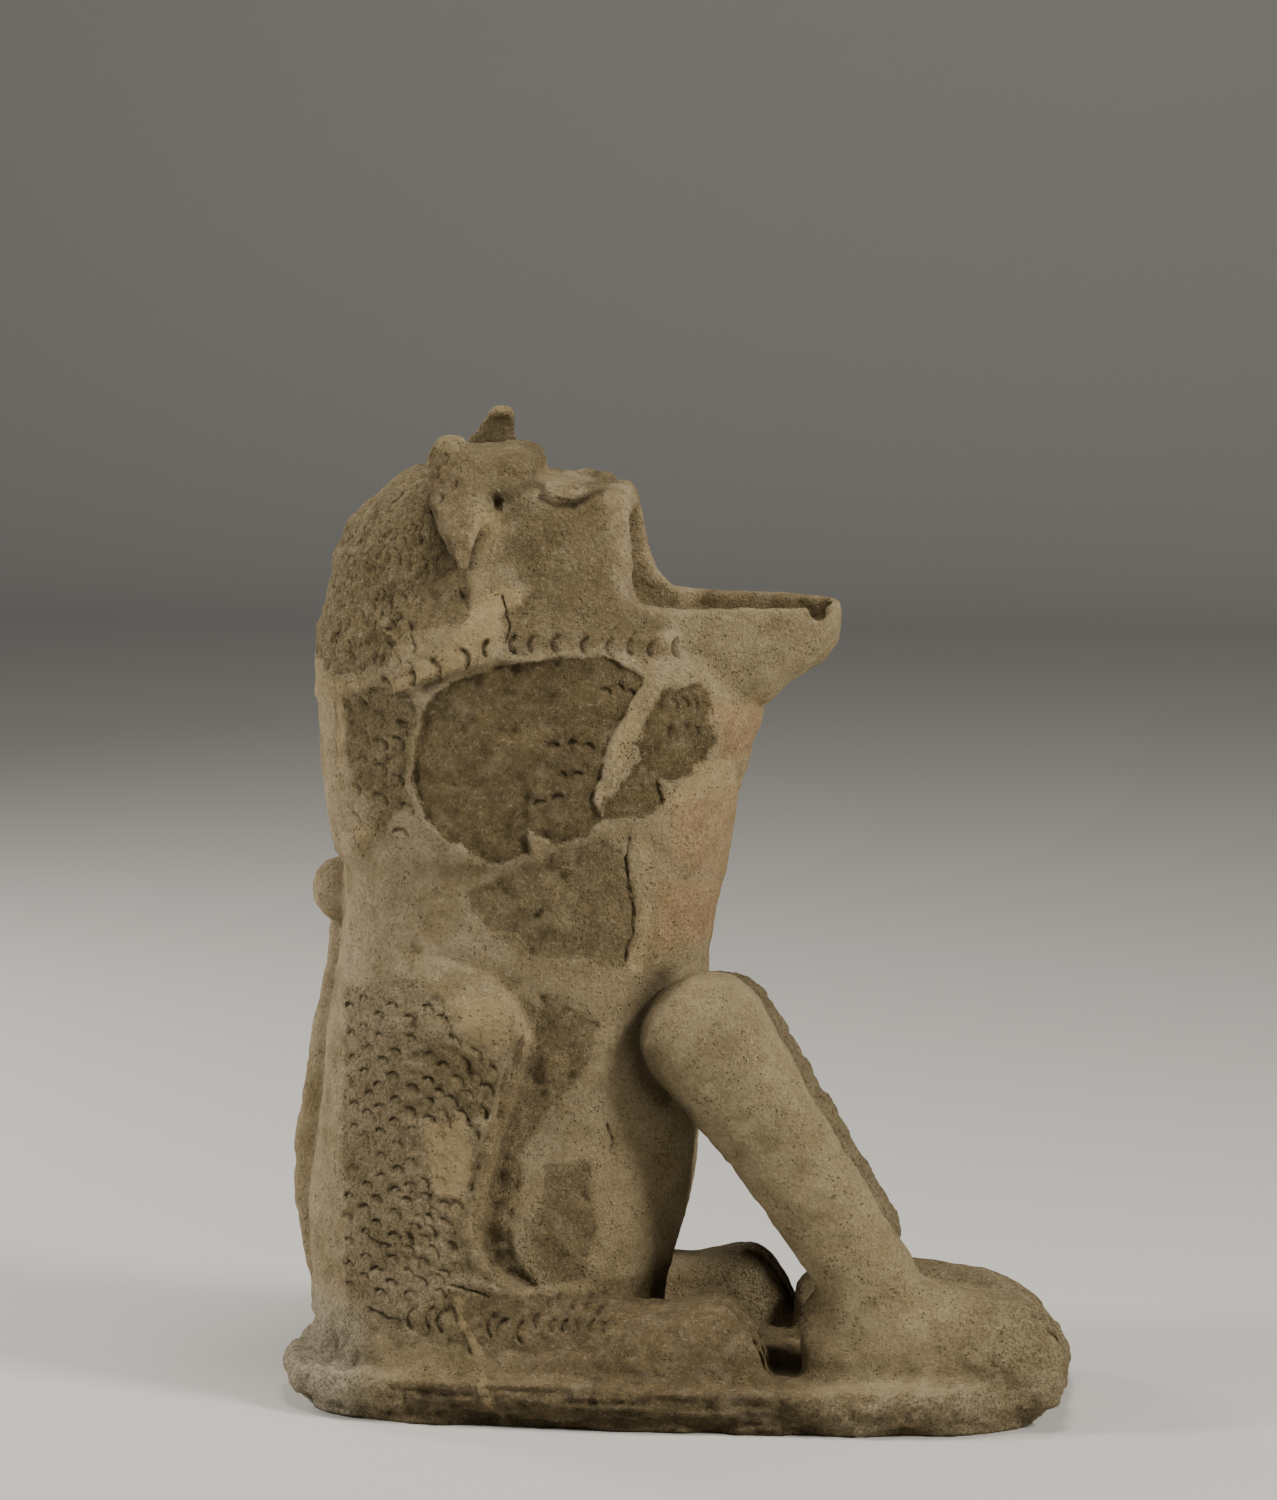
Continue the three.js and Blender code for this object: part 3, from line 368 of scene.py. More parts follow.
# Distance in mm from each place to a line through corners, all seen from the side as (x, z)
def line_distance(places, corners, closed=False):
    corners = np.array(corners, float)
    ends = np.vstack([corners[1:], corners[:1]]) if closed else corners[1:]
    nearest = np.full(len(places), 1e9)
    for a, b in zip(corners, ends):
        along = b - a
        t = np.clip(((places - a) @ along) / (along @ along), 0, 1)
        nearest = np.minimum(nearest, np.linalg.norm(places - a - t[:, None] * along, axis=1))
    return nearest


# The same to an outline, negative inside it
def outline_distance(places, corners):
    inside = np.zeros(len(places), bool)
    x, z = places.T
    for (ax, az), (bx, bz) in zip(corners, corners[1:] + corners[:1]):
        crosses = (az > z) != (bz > z)
        at = ax + (z - az) * (bx - ax) / (bz - az if bz != az else 1)
        inside ^= crosses & (x < at)
    distance = line_distance(places, corners, closed=True)
    return np.where(inside, -distance, distance)


# Old pieces that kept their dark crust: the oval on the neck and the one beside it
neck_oval = [
    (-155, 599), (-127, 611), (-50, 614), (-16, 602), (-32, 571), (-50, 535), (-54, 503),
    (-46, 485), (-63, 473), (-87, 466), (-106, 480), (-108, 459), (-130, 447), (-148, 456),
    (-172, 469), (-191, 487), (-199, 514), (-201, 543), (-193, 567), (-182, 583)]
neck_front = [
    (-2, 591), (24, 592), (35, 576), (35, 542), (27, 526), (10, 515), (-4, 520), (0, 500),
    (-14, 488), (-40, 488), (-48, 484), (-44, 505), (-28, 528), (-22, 534), (-24, 548), (-10, 571)]
# Brown coarse pieces: crown, nape, flank panel, flank hollow, front of the thigh, shank
crown = [(-300, 606), (-262, 594), (-226, 606), (-205, 632), (-182, 640), (-160, 640), (-158, 668),
         (-166, 700), (-192, 742), (-210, 772), (-300, 772)]
nape = [(-262, 577), (-206, 596), (-197, 570), (-209, 540), (-206, 503), (-226, 474), (-254, 505)]
flank_panel = [
    (-130, 438), (-88, 458), (-42, 471), (-26, 455), (-28, 404), (-28, 368),
    (-60, 372), (-104, 378), (-130, 390), (-152, 412), (-158, 430)]
flank_hollow = [
    (-100, 345), (-48, 322), (-70, 280), (-94, 248), (-112, 222), (-122, 180), (-118, 130),
    (-100, 110), (-132, 116), (-148, 140), (-154, 200), (-138, 240), (-118, 272), (-106, 304)]
thigh_front = [(-200, 300), (-170, 306), (-130, 296), (-124, 280), (-140, 246), (-180, 252), (-205, 270)]
shank = [(-140, 108), (-50, 100), (-36, 90), (-40, 62), (-190, 60), (-205, 84), (-180, 104)]
low_belly = [(-98, 205), (-62, 210), (-58, 150), (-66, 112), (-96, 112), (-104, 150)]
# The haunch, coarse too but paler
haunch = [
    (-264, 345), (-204, 356), (-172, 346), (-160, 300), (-142, 262), (-152, 210), (-156, 160),
    (-132, 110), (-60, 62), (-200, 58), (-256, 80), (-264, 200)]
# Olive, finer pieces: the cheek down to the row of marks
cheek = [
    (-133, 742), (-100, 728), (-56, 750), (-46, 700), (-44, 670), (-26, 654), (-6, 642), (-2, 620),
    (-60, 622), (-126, 620), (-132, 642), (-108, 668), (-130, 690), (-126, 715)]
hind_foot = [(-60, 112), (60, 114), (96, 76), (100, 30), (-60, 30)]
brow = [(-196, 778), (-110, 778), (-108, 748), (-150, 738), (-192, 748)]
# Reddish places on the chest
reds = [[(2, 499), (90, 508), (90, 440), (30, 427), (4, 455)],
        [(-8, 430), (80, 425), (80, 376), (-8, 380)],
        [(38, 569), (100, 574), (100, 532), (44, 521)]]
# Fills, smooth and pale: single patches, and seams as lines with a half width
fills = [
    [(-147, 729), (-134, 727), (-130, 719), (-138, 701), (-142, 689), (-150, 692), (-154, 704),
     (-149, 721)],
    [(-159, 647), (-139, 665), (-112, 670), (-114, 653), (-134, 645), (-131, 628), (-161, 604),
     (-225, 585), (-222, 594), (-178, 618)],
    [(-164, 350), (-124, 346), (-116, 312), (-132, 302), (-158, 324)],
    [(-190, 240), (-158, 246), (-150, 200), (-158, 180), (-180, 186)],
    [(17, 528), (49, 528), (49, 500), (10, 498)],
]
seams = [
    (3, [(-240, 640), (-205, 622), (-196, 612), (-160, 616)]),
    (3, [(-278, 588), (-262, 584), (-240, 590)]),
    (5, [(-264, 573), (-266, 498), (-240, 470)]),
    (4, [(-161, 96), (-140, 40), (-129, 0)]),
    (4, [(-10, 584), (-30, 556), (-38, 530), (-48, 500)]),
    (4, [(-15, 470), (-19, 364)]),
]
cracks = [
    [(-131, 660), (-127, 650), (-125, 640), (-128, 630)],
    [(-238, 146), (-228, 143), (-219, 141)],
    [(-170, 112), (-150, 106), (-138, 104)],
    [(-240, 92), (-224, 84), (-214, 82)],
    [(-26, 470), (-29, 448), (-30, 410), (-30, 372)],
    [(-46, 238), (-40, 226), (-44, 218)],
]


# Where each kind of surface lies. The left side isn't seen, so it's given the same pieces, warped.
def surface_kinds(points):
    warp = smoothstep(-20, 60, points[:, 1])
    places = points[:, [0, 2]].copy()
    for k in range(2):
        places[:, k] += 16 * warp * noise(points, 110, 20 + k)
        places[:, k] += 4.5 * noise(points, 26, 22 + k) + 1.6 * noise(points, 8, 24 + k)
    brown = [crown, nape, flank_panel, flank_hollow, thigh_front, shank, low_belly]
    outlines = {"crust": [neck_oval, neck_front], "brown": brown, "haunch": [haunch],
                "olive": [cheek, hind_foot, brow], "red": reds, "fill": fills,
                "broken": [nape, neck_front, crown]}
    kinds = {}
    for name, shapes in outlines.items():
        kinds[name] = np.min([outline_distance(places, shape) for shape in shapes], axis=0)
    for half, line in seams:
        width = half * (0.6 + 1.2 * noise(points, 21, 30))
        kinds["fill"] = np.minimum(kinds["fill"], line_distance(places, line) - width)
    kinds["crack"] = np.min([line_distance(places, line) for line in cracks], axis=0)
    return kinds


# How coarse the clay is, from 0 on fills to 1.3 where it's torn
def coarse_share(points, normals, kinds):
    x, y, z = points.T
    on_side = smoothstep(44, 32, z) * smoothstep(0.5, 0.8, np.hypot(normals[:, 0], normals[:, 1]))
    share = 0.5 + 0.6 * smoothstep(1.2, -1.2, np.minimum(kinds["brown"], kinds["haunch"]))
    share += 0.4 * smoothstep(0.6, -0.6, kinds["crust"]) + 0.3 * smoothstep(3, -3, kinds["olive"])
    share += 0.8 * on_side + 0.7 * smoothstep(200, 290, x) * smoothstep(130, 90, z)
    share += 0.7 * smoothstep(-215, -245, x) * smoothstep(90, 60, z)
    share += 0.9 * smoothstep(10, 40, y) * smoothstep(0, 40, x) * smoothstep(370, 330, z)
    return np.clip(share, 0, 1.3) * (1 - 0.85 * smoothstep(0.6, -0.6, kinds["fill"])), on_side


kinds = surface_kinds(points)
coarse, on_side = coarse_share(points, normals, kinds)
x, y, z = points.T
on_crust, on_fill = smoothstep(0.6, -0.6, kinds["crust"]), smoothstep(0.6, -0.6, kinds["fill"])
relief = 1.9 * noise(points, 95, 1) + 0.9 * noise(points, 36, 2) + 0.4 * noise(points, 15, 3)
relief += 0.5 * noise(points, 22, 19) + coarse * (1.5 * noise(points, 10, 4) + 0.9 * noise(points, 5.6, 5))
relief -= coarse * 2.2 * np.clip(noise(points, 7.5, 7) - 0.45, 0, 1)
on_broken = smoothstep(1, -1, kinds["broken"]) * (1 - on_fill)
relief += on_broken * (1.3 * noise(points, 17, 14) - 2.6 * np.clip(noise(points, 11, 15) - 0.3, 0, 1))
relief -= (1.6 * on_crust + 0.9 * smoothstep(0.8, -0.8, kinds["brown"])) * (1 - on_fill)
# A low pale rim round the dark pieces, and the long strokes with which they were wiped
relief += 1.2 * smoothstep(10, 1, kinds["crust"]) * smoothstep(-0.5, 0.8, kinds["crust"])
wiped = noise(points, np.array([9.0, 9.0, 40.0]), 11) + 0.5 * noise(points, np.array([5.0, 5.0, 26.0]), 16)
relief += on_crust * 0.9 * wiped
along_leg = smoothstep(20, 60, x) * smoothstep(360, 320, z) * smoothstep(70, 110, z)
relief += along_leg * 0.8 * noise(points, np.array([26.0, 12.0, 60.0]), 17)
# Strata of the torn clay along the plinth's side, smooth where the front was filled
torn = on_side * smoothstep(120, 95, x) * smoothstep(-235, -205, x)
strata = noise(points, np.array([70.0, 70.0, 6.0]), 8) + 0.7 * noise(points, np.array([34.0, 34.0, 4.0]), 9)
relief += torn * (2.6 * strata - 1.5)
relief += on_side * (1 - torn) * 1.0 * noise(points, 22, 10)
rear = smoothstep(-225, -265, x) * smoothstep(90, 60, z)
relief += rear * (3.0 * noise(points, 30, 12) + 2.2 * noise(points, 13, 18))
# The thigh's front edge: a rolled lip, and a furrow beside it
edge = x - thigh_edge((z - plinth_thickness) / h) * h
on_thigh_side = smoothstep(352, 325, z) * smoothstep(90, 115, z) * smoothstep(90, 110, np.abs(y))
relief += 3.2 * smoothstep(-12, -3.5, edge) * smoothstep(1.5, -2, edge) * on_thigh_side
relief -= 1.8 * smoothstep(-2, 2.5, edge) * smoothstep(18, 6, edge) * on_thigh_side
# Cracks
relief -= 2.0 * smoothstep(1.6, 0.3, kinds["crack"]) * smoothstep(60, 80, np.abs(y))
# The eyes: an almond with a rolled lid, a ring and a hole for the pupil, and creases under it
on_face = smoothstep(30, 45, np.abs(y)) * (z > 700) * np.where(y < 0, 1.0, 0.35)
face_places = np.stack([x, 0.99 * z - 0.138 * np.abs(y)], -1)
u, v = (face_places[:, 0] + 79.5) / 19.0, (face_places[:, 1] - 727) / 7.6
almond = np.abs(u) ** 1.7 + np.abs(v) ** 1.7
relief += on_face * 2.4 * np.exp(-((almond - 1.15) / 0.34) ** 2)
pupil = np.hypot(face_places[:, 0] + 75, face_places[:, 1] - 729)
relief += on_face * (1.0 * np.exp(-((pupil - 4.8) / 1.3) ** 2) - 3.0 * smoothstep(3.4, 1.4, pupil))
for depth, half, line in (
        (2.4, 2.6, [(-104, 719), (-91, 713), (-76, 714), (-63, 721), (-53, 732)]),
        (1.0, 2.6, [(-98, 706), (-80, 703), (-62, 708), (-50, 718)])):
    relief -= on_face * depth * np.exp(-(line_distance(face_places, line) / half) ** 2)

relief *= 1 - 0.6 * smoothstep(10, 40, y) * smoothstep(128, 116, z) * smoothstep(38, 46, z)
relief = np.where(z < 1.0, 0, relief) * smoothstep(0, 4, z)
points += normals * relief[:, None]
points[:, 2] = np.maximum(points[:, 2], 0)
fine.vertices.foreach_set("co", (points / 1000).astype(np.float32).ravel())
fine.update()


# Reed marks: the end of a cut reed was pressed slantwise into the wet clay, so that only one side of
# its ring bit. They stand in a row under each cheek, and in rows over crown, mane, haunch and shank.
def skin_place(start, direction):
    start, direction = np.array(start, float), np.array(direction, float)
    direction /= np.linalg.norm(direction, axis=1)[:, None]
    inside, outside = np.zeros(len(start)), np.full(len(start), 420.0)
    for _ in range(26):
        middle = (inside + outside) / 2
        out = clay(start + direction * middle[:, None]) > 0
        outside, inside = np.where(out, middle, outside), np.where(out, inside, middle)
    return start + direction * outside[:, None]


random = np.random.default_rng(7)
marks = []  # [start, direction, heading in the side view, size, depth, length of the bite's slope]


def side_mark(x, z, heading, size, depth, ragged_by=0.6, slope=0.85):
    for side in (-1, 1):
        spread = ragged_by if side < 0 else 3.5
        at = (x + random.normal(0, spread), 0, z + random.normal(0, spread))
        turn = math.radians(heading + random.normal(0, 5 + 4 * ragged_by))
        marks.append((at, (0, side, 0), (math.cos(turn), 0, math.sin(turn)),
                      size * random.uniform(0.92, 1.08), depth * random.uniform(0.8, 1.15), slope))


mark_row = curve([[-28.6, 72.8], [-23.4, 75.4], [-18.7, 76.8], [-13.8, 77.4], [-5.9, 77.0], [0.8, 76.5]])
for x_mark in (-142, -121, -105, -86, -64, -45, -29, -14, 5):
    side_mark(x_mark, plinth_thickness + h * float(mark_row(x_mark / h)), 180, 19, 3.4)
for x_mark, z_mark in ((-157, 614), (-180, 606), (-201, 598), (-221, 589)):
    side_mark(x_mark, z_mark, 20, 22, 2.2)
# The haunch: columns of arches up it, then slanting rows towards the thigh's edge
for column, x_mark in enumerate((-255, -242, -228.5, -215, -201.5, -188, -174.5)):
    for z_mark in np.arange(104 + 9 * (column % 2), 344, 18.5):
        if x_mark < float(thigh_edge((z_mark - plinth_thickness) / h)) * h - 20 and random.random() < 0.9:
            worn = 1 if column < 4 else 0.7
            side_mark(x_mark, z_mark, 92 - 5 * column, 14.5, 2.6 * worn, 1.8, 0.6)
for row in range(13):
    for step_along in range(3):
        z_mark = 128 + 16 * row
        x_mark = float(thigh_edge((z_mark - plinth_thickness) / h)) * h - 22 - 15 * step_along
        side_mark(x_mark, z_mark - 6 * step_along, 40, 19, 1.3, 2.0, 0.5)
# The shank: arcs open to the front, then two rows of short strokes
for k in range(8):
    side_mark(-200 + 12 * k, 86 - 1.2 * k, 172, 25, 2.2, 1.2, 0.5)
for k in range(6):
    side_mark(-104 + 11 * k, 104 - 1.5 * k, 150, 15, 2.2, 1.5)
    side_mark(-100 + 11 * k, 86 - 1.2 * k, 165, 15, 2.2, 1.5)
# Neck: a few on the dark pieces, more on the nape
for x_mark, z_mark, heading in (
        (-88, 545, 100), (-72, 549, 90), (-60, 546, 80), (-45, 590, 60), (-38, 591, 60), (-28, 590, 70),
        (7, 577, 30), (15, 577, 30), (23, 577, 20), (32, 572, 20), (2, 556, 180), (-6, 541, 200),
        (14, 560, 20), (22, 556, 20), (-82, 522, 100), (-68, 526, 90), (-96, 500, 120), (-84, 504, 100)):
    side_mark(x_mark, z_mark, heading, 13, 2.0, 1.2)
for row in range(5):
    for step_along in range(3):
        side_mark(-247 + 18 * step_along, 568 - 21 * row - 5 * step_along, 50, 18, 2.0, 4.0, 0.6)
# Crown: close rows that follow the skull round from one side to the other
centre = np.array([-150.0, 0.0, 640.0])
for row in range(17):
    climb = math.radians(-14 + 5.6 * row)
    around_count = int(round(58 * math.cos(min(climb, 1.2)))) + 1
    for step_round in range(around_count):
        around = math.radians(96 + 168 * (step_round + 0.5 * (row % 2)) / around_count)
        direction = (math.cos(around) * math.cos(climb), math.sin(around) * math.cos(climb), math.sin(climb))
        away = abs(math.sin(around)) * math.cos(climb)
        if away > 0.72 and (climb > 0.55 or math.cos(around) > -0.35):
            continue
        turn = math.copysign(1, math.sin(around))
        heading = (turn * math.sin(around), -turn * math.cos(around), random.normal(0.1, 0.4))
        start = centre + random.normal(0, 2.6, 3)
        marks.append((start, direction, heading, random.uniform(9, 13), random.uniform(0.9, 2.6), 0.42))

starts, directions, headings, sizes, depths, slopes = (np.array(column, float) for column in zip(*marks))
mark_points = skin_place(starts, directions)
# Nothing but the collar's marks, which come first, was pressed into the fills
collar_marks = 26
filled = surface_kinds(mark_points)["fill"] < 1.5
filled[:collar_marks] = False
depths = np.where(filled, 0.15 * depths, depths)
mark_faces = clay_normals(mark_points)
mark_headings = headings - mark_faces * (headings * mark_faces).sum(1)[:, None]
mark_headings /= np.maximum(np.linalg.norm(mark_headings, axis=1), 1e-6)[:, None]
reed_mesh = bpy.data.meshes.new("reed_places")
reed_mesh.from_pydata((mark_points / 1000).tolist(), [], [])
reed_places = bpy.data.objects.new("reed_places", reed_mesh)
bpy.context.collection.objects.link(reed_places)


def store(mesh, name, kind, values):
    attribute = mesh.attributes.new(name, kind, "POINT")
    field = "vector" if kind == "FLOAT_VECTOR" else "value"
    attribute.data.foreach_set(field, np.asarray(values, np.float32).ravel())


store(reed_mesh, "heading", "FLOAT_VECTOR", mark_headings)
store(reed_mesh, "facing", "FLOAT_VECTOR", mark_faces)
store(reed_mesh, "reach", "FLOAT", sizes / 2000)
store(reed_mesh, "depth", "FLOAT", depths / 1000)
store(reed_mesh, "slope", "FLOAT", slopes)


# Adds a node with its settings, and links or sets its inputs
def node(tree, kind, settings=None, inputs=None):
    made = tree.nodes.new(kind)
    for name, value in (settings or {}).items():
        setattr(made, name, value)
    for socket, value in (inputs or {}).items():
        if isinstance(value, bpy.types.NodeSocket):
            tree.links.new(value, made.inputs[socket])
        else:
            made.inputs[socket].default_value = value
    return made


terracotta = bpy.data.materials.new("fired_clay_terracotta")
press = bpy.data.node_groups.new("press_reed", "GeometryNodeTree")
press.is_modifier = True
press.interface.new_socket("Geometry", in_out="INPUT", socket_type="NodeSocketGeometry")
places_input = press.interface.new_socket("Reed places", in_out="INPUT", socket_type="NodeSocketObject")
rim_input = press.interface.new_socket("Rim height", in_out="INPUT", socket_type="NodeSocketFloat")
press.interface.new_socket("Geometry", in_out="OUTPUT", socket_type="NodeSocketGeometry")
given = node(press, "NodeGroupInput")
places = node(press, "GeometryNodeObjectInfo", {"transform_space": "ORIGINAL"},
              {"Object": given.outputs["Reed places"]})
here = node(press, "GeometryNodeInputPosition").outputs[0]
nearest = node(press, "GeometryNodeSampleNearest", {"domain": "POINT"},
               {"Geometry": places.outputs["Geometry"], "Sample Position": here}).outputs[0]


def reed_value(source, kind):
    return node(press, "GeometryNodeSampleIndex", {"data_type": kind, "domain": "POINT"},
                {"Geometry": places.outputs["Geometry"], "Value": source, "Index": nearest}).outputs[0]


def reed_attribute(name, kind):
    named = node(press, "GeometryNodeInputNamedAttribute", {"data_type": kind}, {"Name": name})
    return reed_value(named.outputs[0], kind)


def calc(tree, operation, *values):
    return node(tree, "ShaderNodeMath", {"operation": operation}, dict(enumerate(values))).outputs[0]


centre_here = reed_value(here, "FLOAT_VECTOR")
heading = reed_attribute("heading", "FLOAT_VECTOR")
facing = reed_attribute("facing", "FLOAT_VECTOR")
reach = reed_attribute("reach", "FLOAT")
depth = reed_attribute("depth", "FLOAT")
slope_end = reed_attribute("slope", "FLOAT")
offset = node(press, "ShaderNodeVectorMath", {"operation": "SUBTRACT"}, {0: here, 1: centre_here}).outputs[0]
crossing = {"operation": "CROSS_PRODUCT"}
beside = node(press, "ShaderNodeVectorMath", crossing, {0: facing, 1: heading}).outputs[0]
share = []
for axis in (heading, beside, facing):
    along_axis = node(press, "ShaderNodeVectorMath", {"operation": "DOT_PRODUCT"}, {0: offset, 1: axis})
    share.append(calc(press, "DIVIDE", along_axis.outputs["Value"], reach))
forward = calc(press, "ADD", share[0], 0.55)
ring_square = calc(press, "ADD", calc(press, "POWER", forward, 2.0), calc(press, "POWER", share[1], 2.0))
ring = calc(press, "SQRT", ring_square)
inward = calc(press, "SUBTRACT", 1.0, ring)


def ease(tree, value, start, end):
    return node(tree, "ShaderNodeMapRange", {"interpolation_type": "SMOOTHSTEP"},
                {"Value": value, "From Min": start, "From Max": end}).outputs[0]


def slope_down(tree, value, start, end):
    return calc(tree, "SUBTRACT", 1.0, ease(tree, value, start, end))


window = ease(press, calc(press, "DIVIDE", forward, calc(press, "MAXIMUM", ring, 0.05)), 0.12, 0.6)
level = slope_down(press, calc(press, "ABSOLUTE", share[2]), 0.9, 1.6)
window = calc(press, "MULTIPLY", window, level)
bite = calc(press, "MULTIPLY", ease(press, inward, 0.0, 0.16), slope_down(press, inward, 0.12, slope_end))
bite = calc(press, "MULTIPLY", bite, window)
burr = calc(press, "MULTIPLY", ease(press, inward, -0.4, -0.06), slope_down(press, inward, -0.06, 0.04))
burr = calc(press, "MULTIPLY", calc(press, "MULTIPLY", burr, window), given.outputs["Rim height"])
push = calc(press, "MULTIPLY", calc(press, "SUBTRACT", burr, bite), depth)
push_along = node(press, "ShaderNodeVectorMath", {"operation": "SCALE"}, {0: facing, "Scale": push})
moved = node(press, "GeometryNodeSetPosition", None, {
    "Geometry": given.outputs["Geometry"], "Offset": push_along.outputs[0]})
kept = node(press, "GeometryNodeStoreNamedAttribute", {"data_type": "FLOAT", "domain": "POINT"},
            {"Geometry": moved.outputs[0], "Name": "pressed", "Value": bite})
whole = node(press, "GeometryNodeRealizeInstances", None, {"Geometry": kept.outputs[0]})
painted = node(press, "GeometryNodeSetMaterial", None, {"Geometry": whole.outputs[0], "Material": terracotta})
node(press, "NodeGroupOutput", None, {0: painted.outputs[0]})

pressing = clay_form.modifiers.new("press_reed", "NODES")
pressing.node_group = press
pressing[places_input.identifier] = reed_places
pressing[rim_input.identifier] = 0.2
# Flat clay needs few triangles, marks and pits many
lighten = clay_form.modifiers.new("lighten", "DECIMATE")
lighten.ratio = min(1.0, 194000 / (2 * len(fine.polygons)))
final = bpy.data.meshes.new_from_object(clay_form.evaluated_get(bpy.context.evaluated_depsgraph_get()))
final.name = "lion_of_fired_clay"
bpy.data.objects.remove(clay_form)
bpy.data.objects.remove(reed_places)
final.shade_smooth()
lion = bpy.data.objects.new("lion_of_fired_clay", final)
bpy.context.collection.objects.link(lion)
if not final.materials:
    final.materials.append(terracotta)

# What the finish reads at each point: distances in mm to the edges of the kinds of surface
points = 1000 * read_points(final)
kinds = surface_kinds(points)
kinds["olive"] += 40 * smoothstep(0, 20, points[:, 1]) * smoothstep(125, 115, points[:, 2])
for name in ("crust", "brown", "olive", "red", "fill", "crack"):
    store(final, name, "FLOAT", kinds[name])
flat = np.empty(3 * len(final.vertices), np.float32)
final.vertices.foreach_get("normal", flat)
store(final, "coarse", "FLOAT", coarse_share(points, flat.reshape(-1, 3), kinds)[0])
x, y, z = points.T
fair = smoothstep(-6, 30, x + 0.25 * (z - 640)) * smoothstep(560, 590, z)
fair = np.maximum(fair, smoothstep(-30, 20, x) * smoothstep(372, 350, z) * smoothstep(30, 46, z))
fair *= 1 - 0.75 * smoothstep(10, 40, y) * smoothstep(372, 350, z)
fair *= 1 - 0.8 * smoothstep(20, 50, y) * smoothstep(560, 590, z)
fair = np.maximum(fair, 0.55 * smoothstep(-70, -20, x) * smoothstep(330, 300, z) * smoothstep(60, 90, z))
store(final, "fair", "FLOAT", fair)
earth_and_ear_shade = smoothstep(46, 34, z) * smoothstep(130, 100, x) * smoothstep(-215, -185, x)
on_hind_foot = smoothstep(-190, -60, x) * smoothstep(150, 110, x) * smoothstep(112, 96, z)
earth_and_ear_shade = np.maximum(earth_and_ear_shade, 0.85 * on_hind_foot)
earth_and_ear_shade *= 1 - 0.8 * smoothstep(10, 40, y) * smoothstep(38, 46, z)
side_places = points[:, [0, 2]]
# The near ear is darkened as painted shade, through the same mask as the earthier clay
on_ear = smoothstep(24, 12, line_distance(side_places, [(-180, 752), (-174, 730), (-166, 704)]))
earth_and_ear_shade = np.maximum(earth_and_ear_shade, 0.8 * on_ear * smoothstep(36, 50, np.abs(y)))
earth_and_ear_shade = np.maximum(earth_and_ear_shade, 0.5 * smoothstep(20, 45, y) * smoothstep(0, 20, x) * smoothstep(590, 610, z))
store(final, "earth_and_ear_shade", "FLOAT", earth_and_ear_shade)
store(final, "worn", "FLOAT", smoothstep(-225, -262, x) * smoothstep(105, 60, z))
# Painted shade: round the eye, in the hollow under the brow, behind the ear and behind the shoulder
seen_places = np.stack([x, 0.99 * z - 0.138 * np.abs(y)], -1)
lower_lid = [(-104, 719), (-91, 713), (-76, 714), (-63, 721), (-53, 732)]
painted_shade = np.exp(-(line_distance(seen_places, lower_lid) / 2.8) ** 2)
painted_shade = np.maximum(painted_shade, smoothstep(4.2, 2.0, np.hypot(seen_places[:, 0] + 75, seen_places[:, 1] - 729)))
under_brow = line_distance(seen_places, [(-139, 716), (-125, 722), (-108, 731)])
painted_shade = np.maximum(painted_shade, 0.8 * np.exp(-(under_brow / 6.0) ** 2))
painted_shade *= smoothstep(40, 50, np.abs(y)) * smoothstep(695, 705, z) * np.where(y < 0, 1.0, 0.3)
for strength, half, outermost, line in (
        (1.0, 13.0, 124, [(-6, 352), (-18, 334), (-25, 306), (-18, 278), (-4, 258), (14, 248)]),
        (0.8, 9.0, 150, [(-12, 300), (-4, 276), (10, 256)]),
        (0.6, 5.0, 112, [(-188, 742), (-186, 715), (-170, 692)])):
    crease = np.exp(-(line_distance(side_places, line) / half) ** 2)
    crease *= smoothstep(outermost, outermost - 12, np.abs(y))
    painted_shade = np.maximum(painted_shade, strength * crease * smoothstep(60, 72, np.abs(y)))
store(final, "painted_shade", "FLOAT", painted_shade)
# A painted highlight along the thigh's front lip
edge = x - thigh_edge((z - plinth_thickness) / h) * h
lip = smoothstep(-14, -7, edge) * smoothstep(4, 0, edge) * smoothstep(352, 325, z) * smoothstep(90, 115, z)
store(final, "lip", "FLOAT", lip * smoothstep(80, 100, np.abs(y)))


# Fired clay with chaff burnt out of it: dull, coarse and buff, brown-grey where its crust is left,
# reddish where it fired hotter, and cream where it was filled or has a bloom of salt.
def linear(code):
    parts = [int(code[i:i + 2], 16) / 255 for i in (1, 3, 5)]
    return (*(c / 12.92 if c <= 0.04045 else ((c + 0.055) / 1.055) ** 2.4 for c in parts), 1.0)


terracotta.use_nodes = True
tree = terracotta.node_tree
tree.nodes.clear()
place = node(tree, "ShaderNodeTexCoord").outputs["Object"]


# Pattern scales are 1000 over the real size in mm, because Object coordinates are in metres.
def grain(size, detail=4.0, roughness=0.6, stretch=None):
    where = place
    if stretch:
        where = node(tree, "ShaderNodeMapping", None, {"Vector": place, "Scale": stretch}).outputs[0]
    return node(tree, "ShaderNodeTexNoise", None, {
        "Vector": where, "Scale": 1000 / size, "Detail": detail, "Roughness": roughness}).outputs[0]


def kind_at(name):
    return node(tree, "ShaderNodeAttribute", {"attribute_name": name}).outputs["Fac"]


def blend(share, a, b, how="MIX"):
    made = node(tree, "ShaderNodeMix", {"data_type": "RGBA", "blend_type": how}, {"Factor": share})
    for socket, value in ((6, a), (7, b)):
        if isinstance(value, bpy.types.NodeSocket):
            tree.links.new(value, made.inputs[socket])
        else:
            made.inputs[socket].default_value = linear(value)
    return made.outputs[2]


wide, middle_grain, small, fine_grain = grain(140), grain(34, 5), grain(9, 5, 0.65), grain(2.6, 3, 0.7)
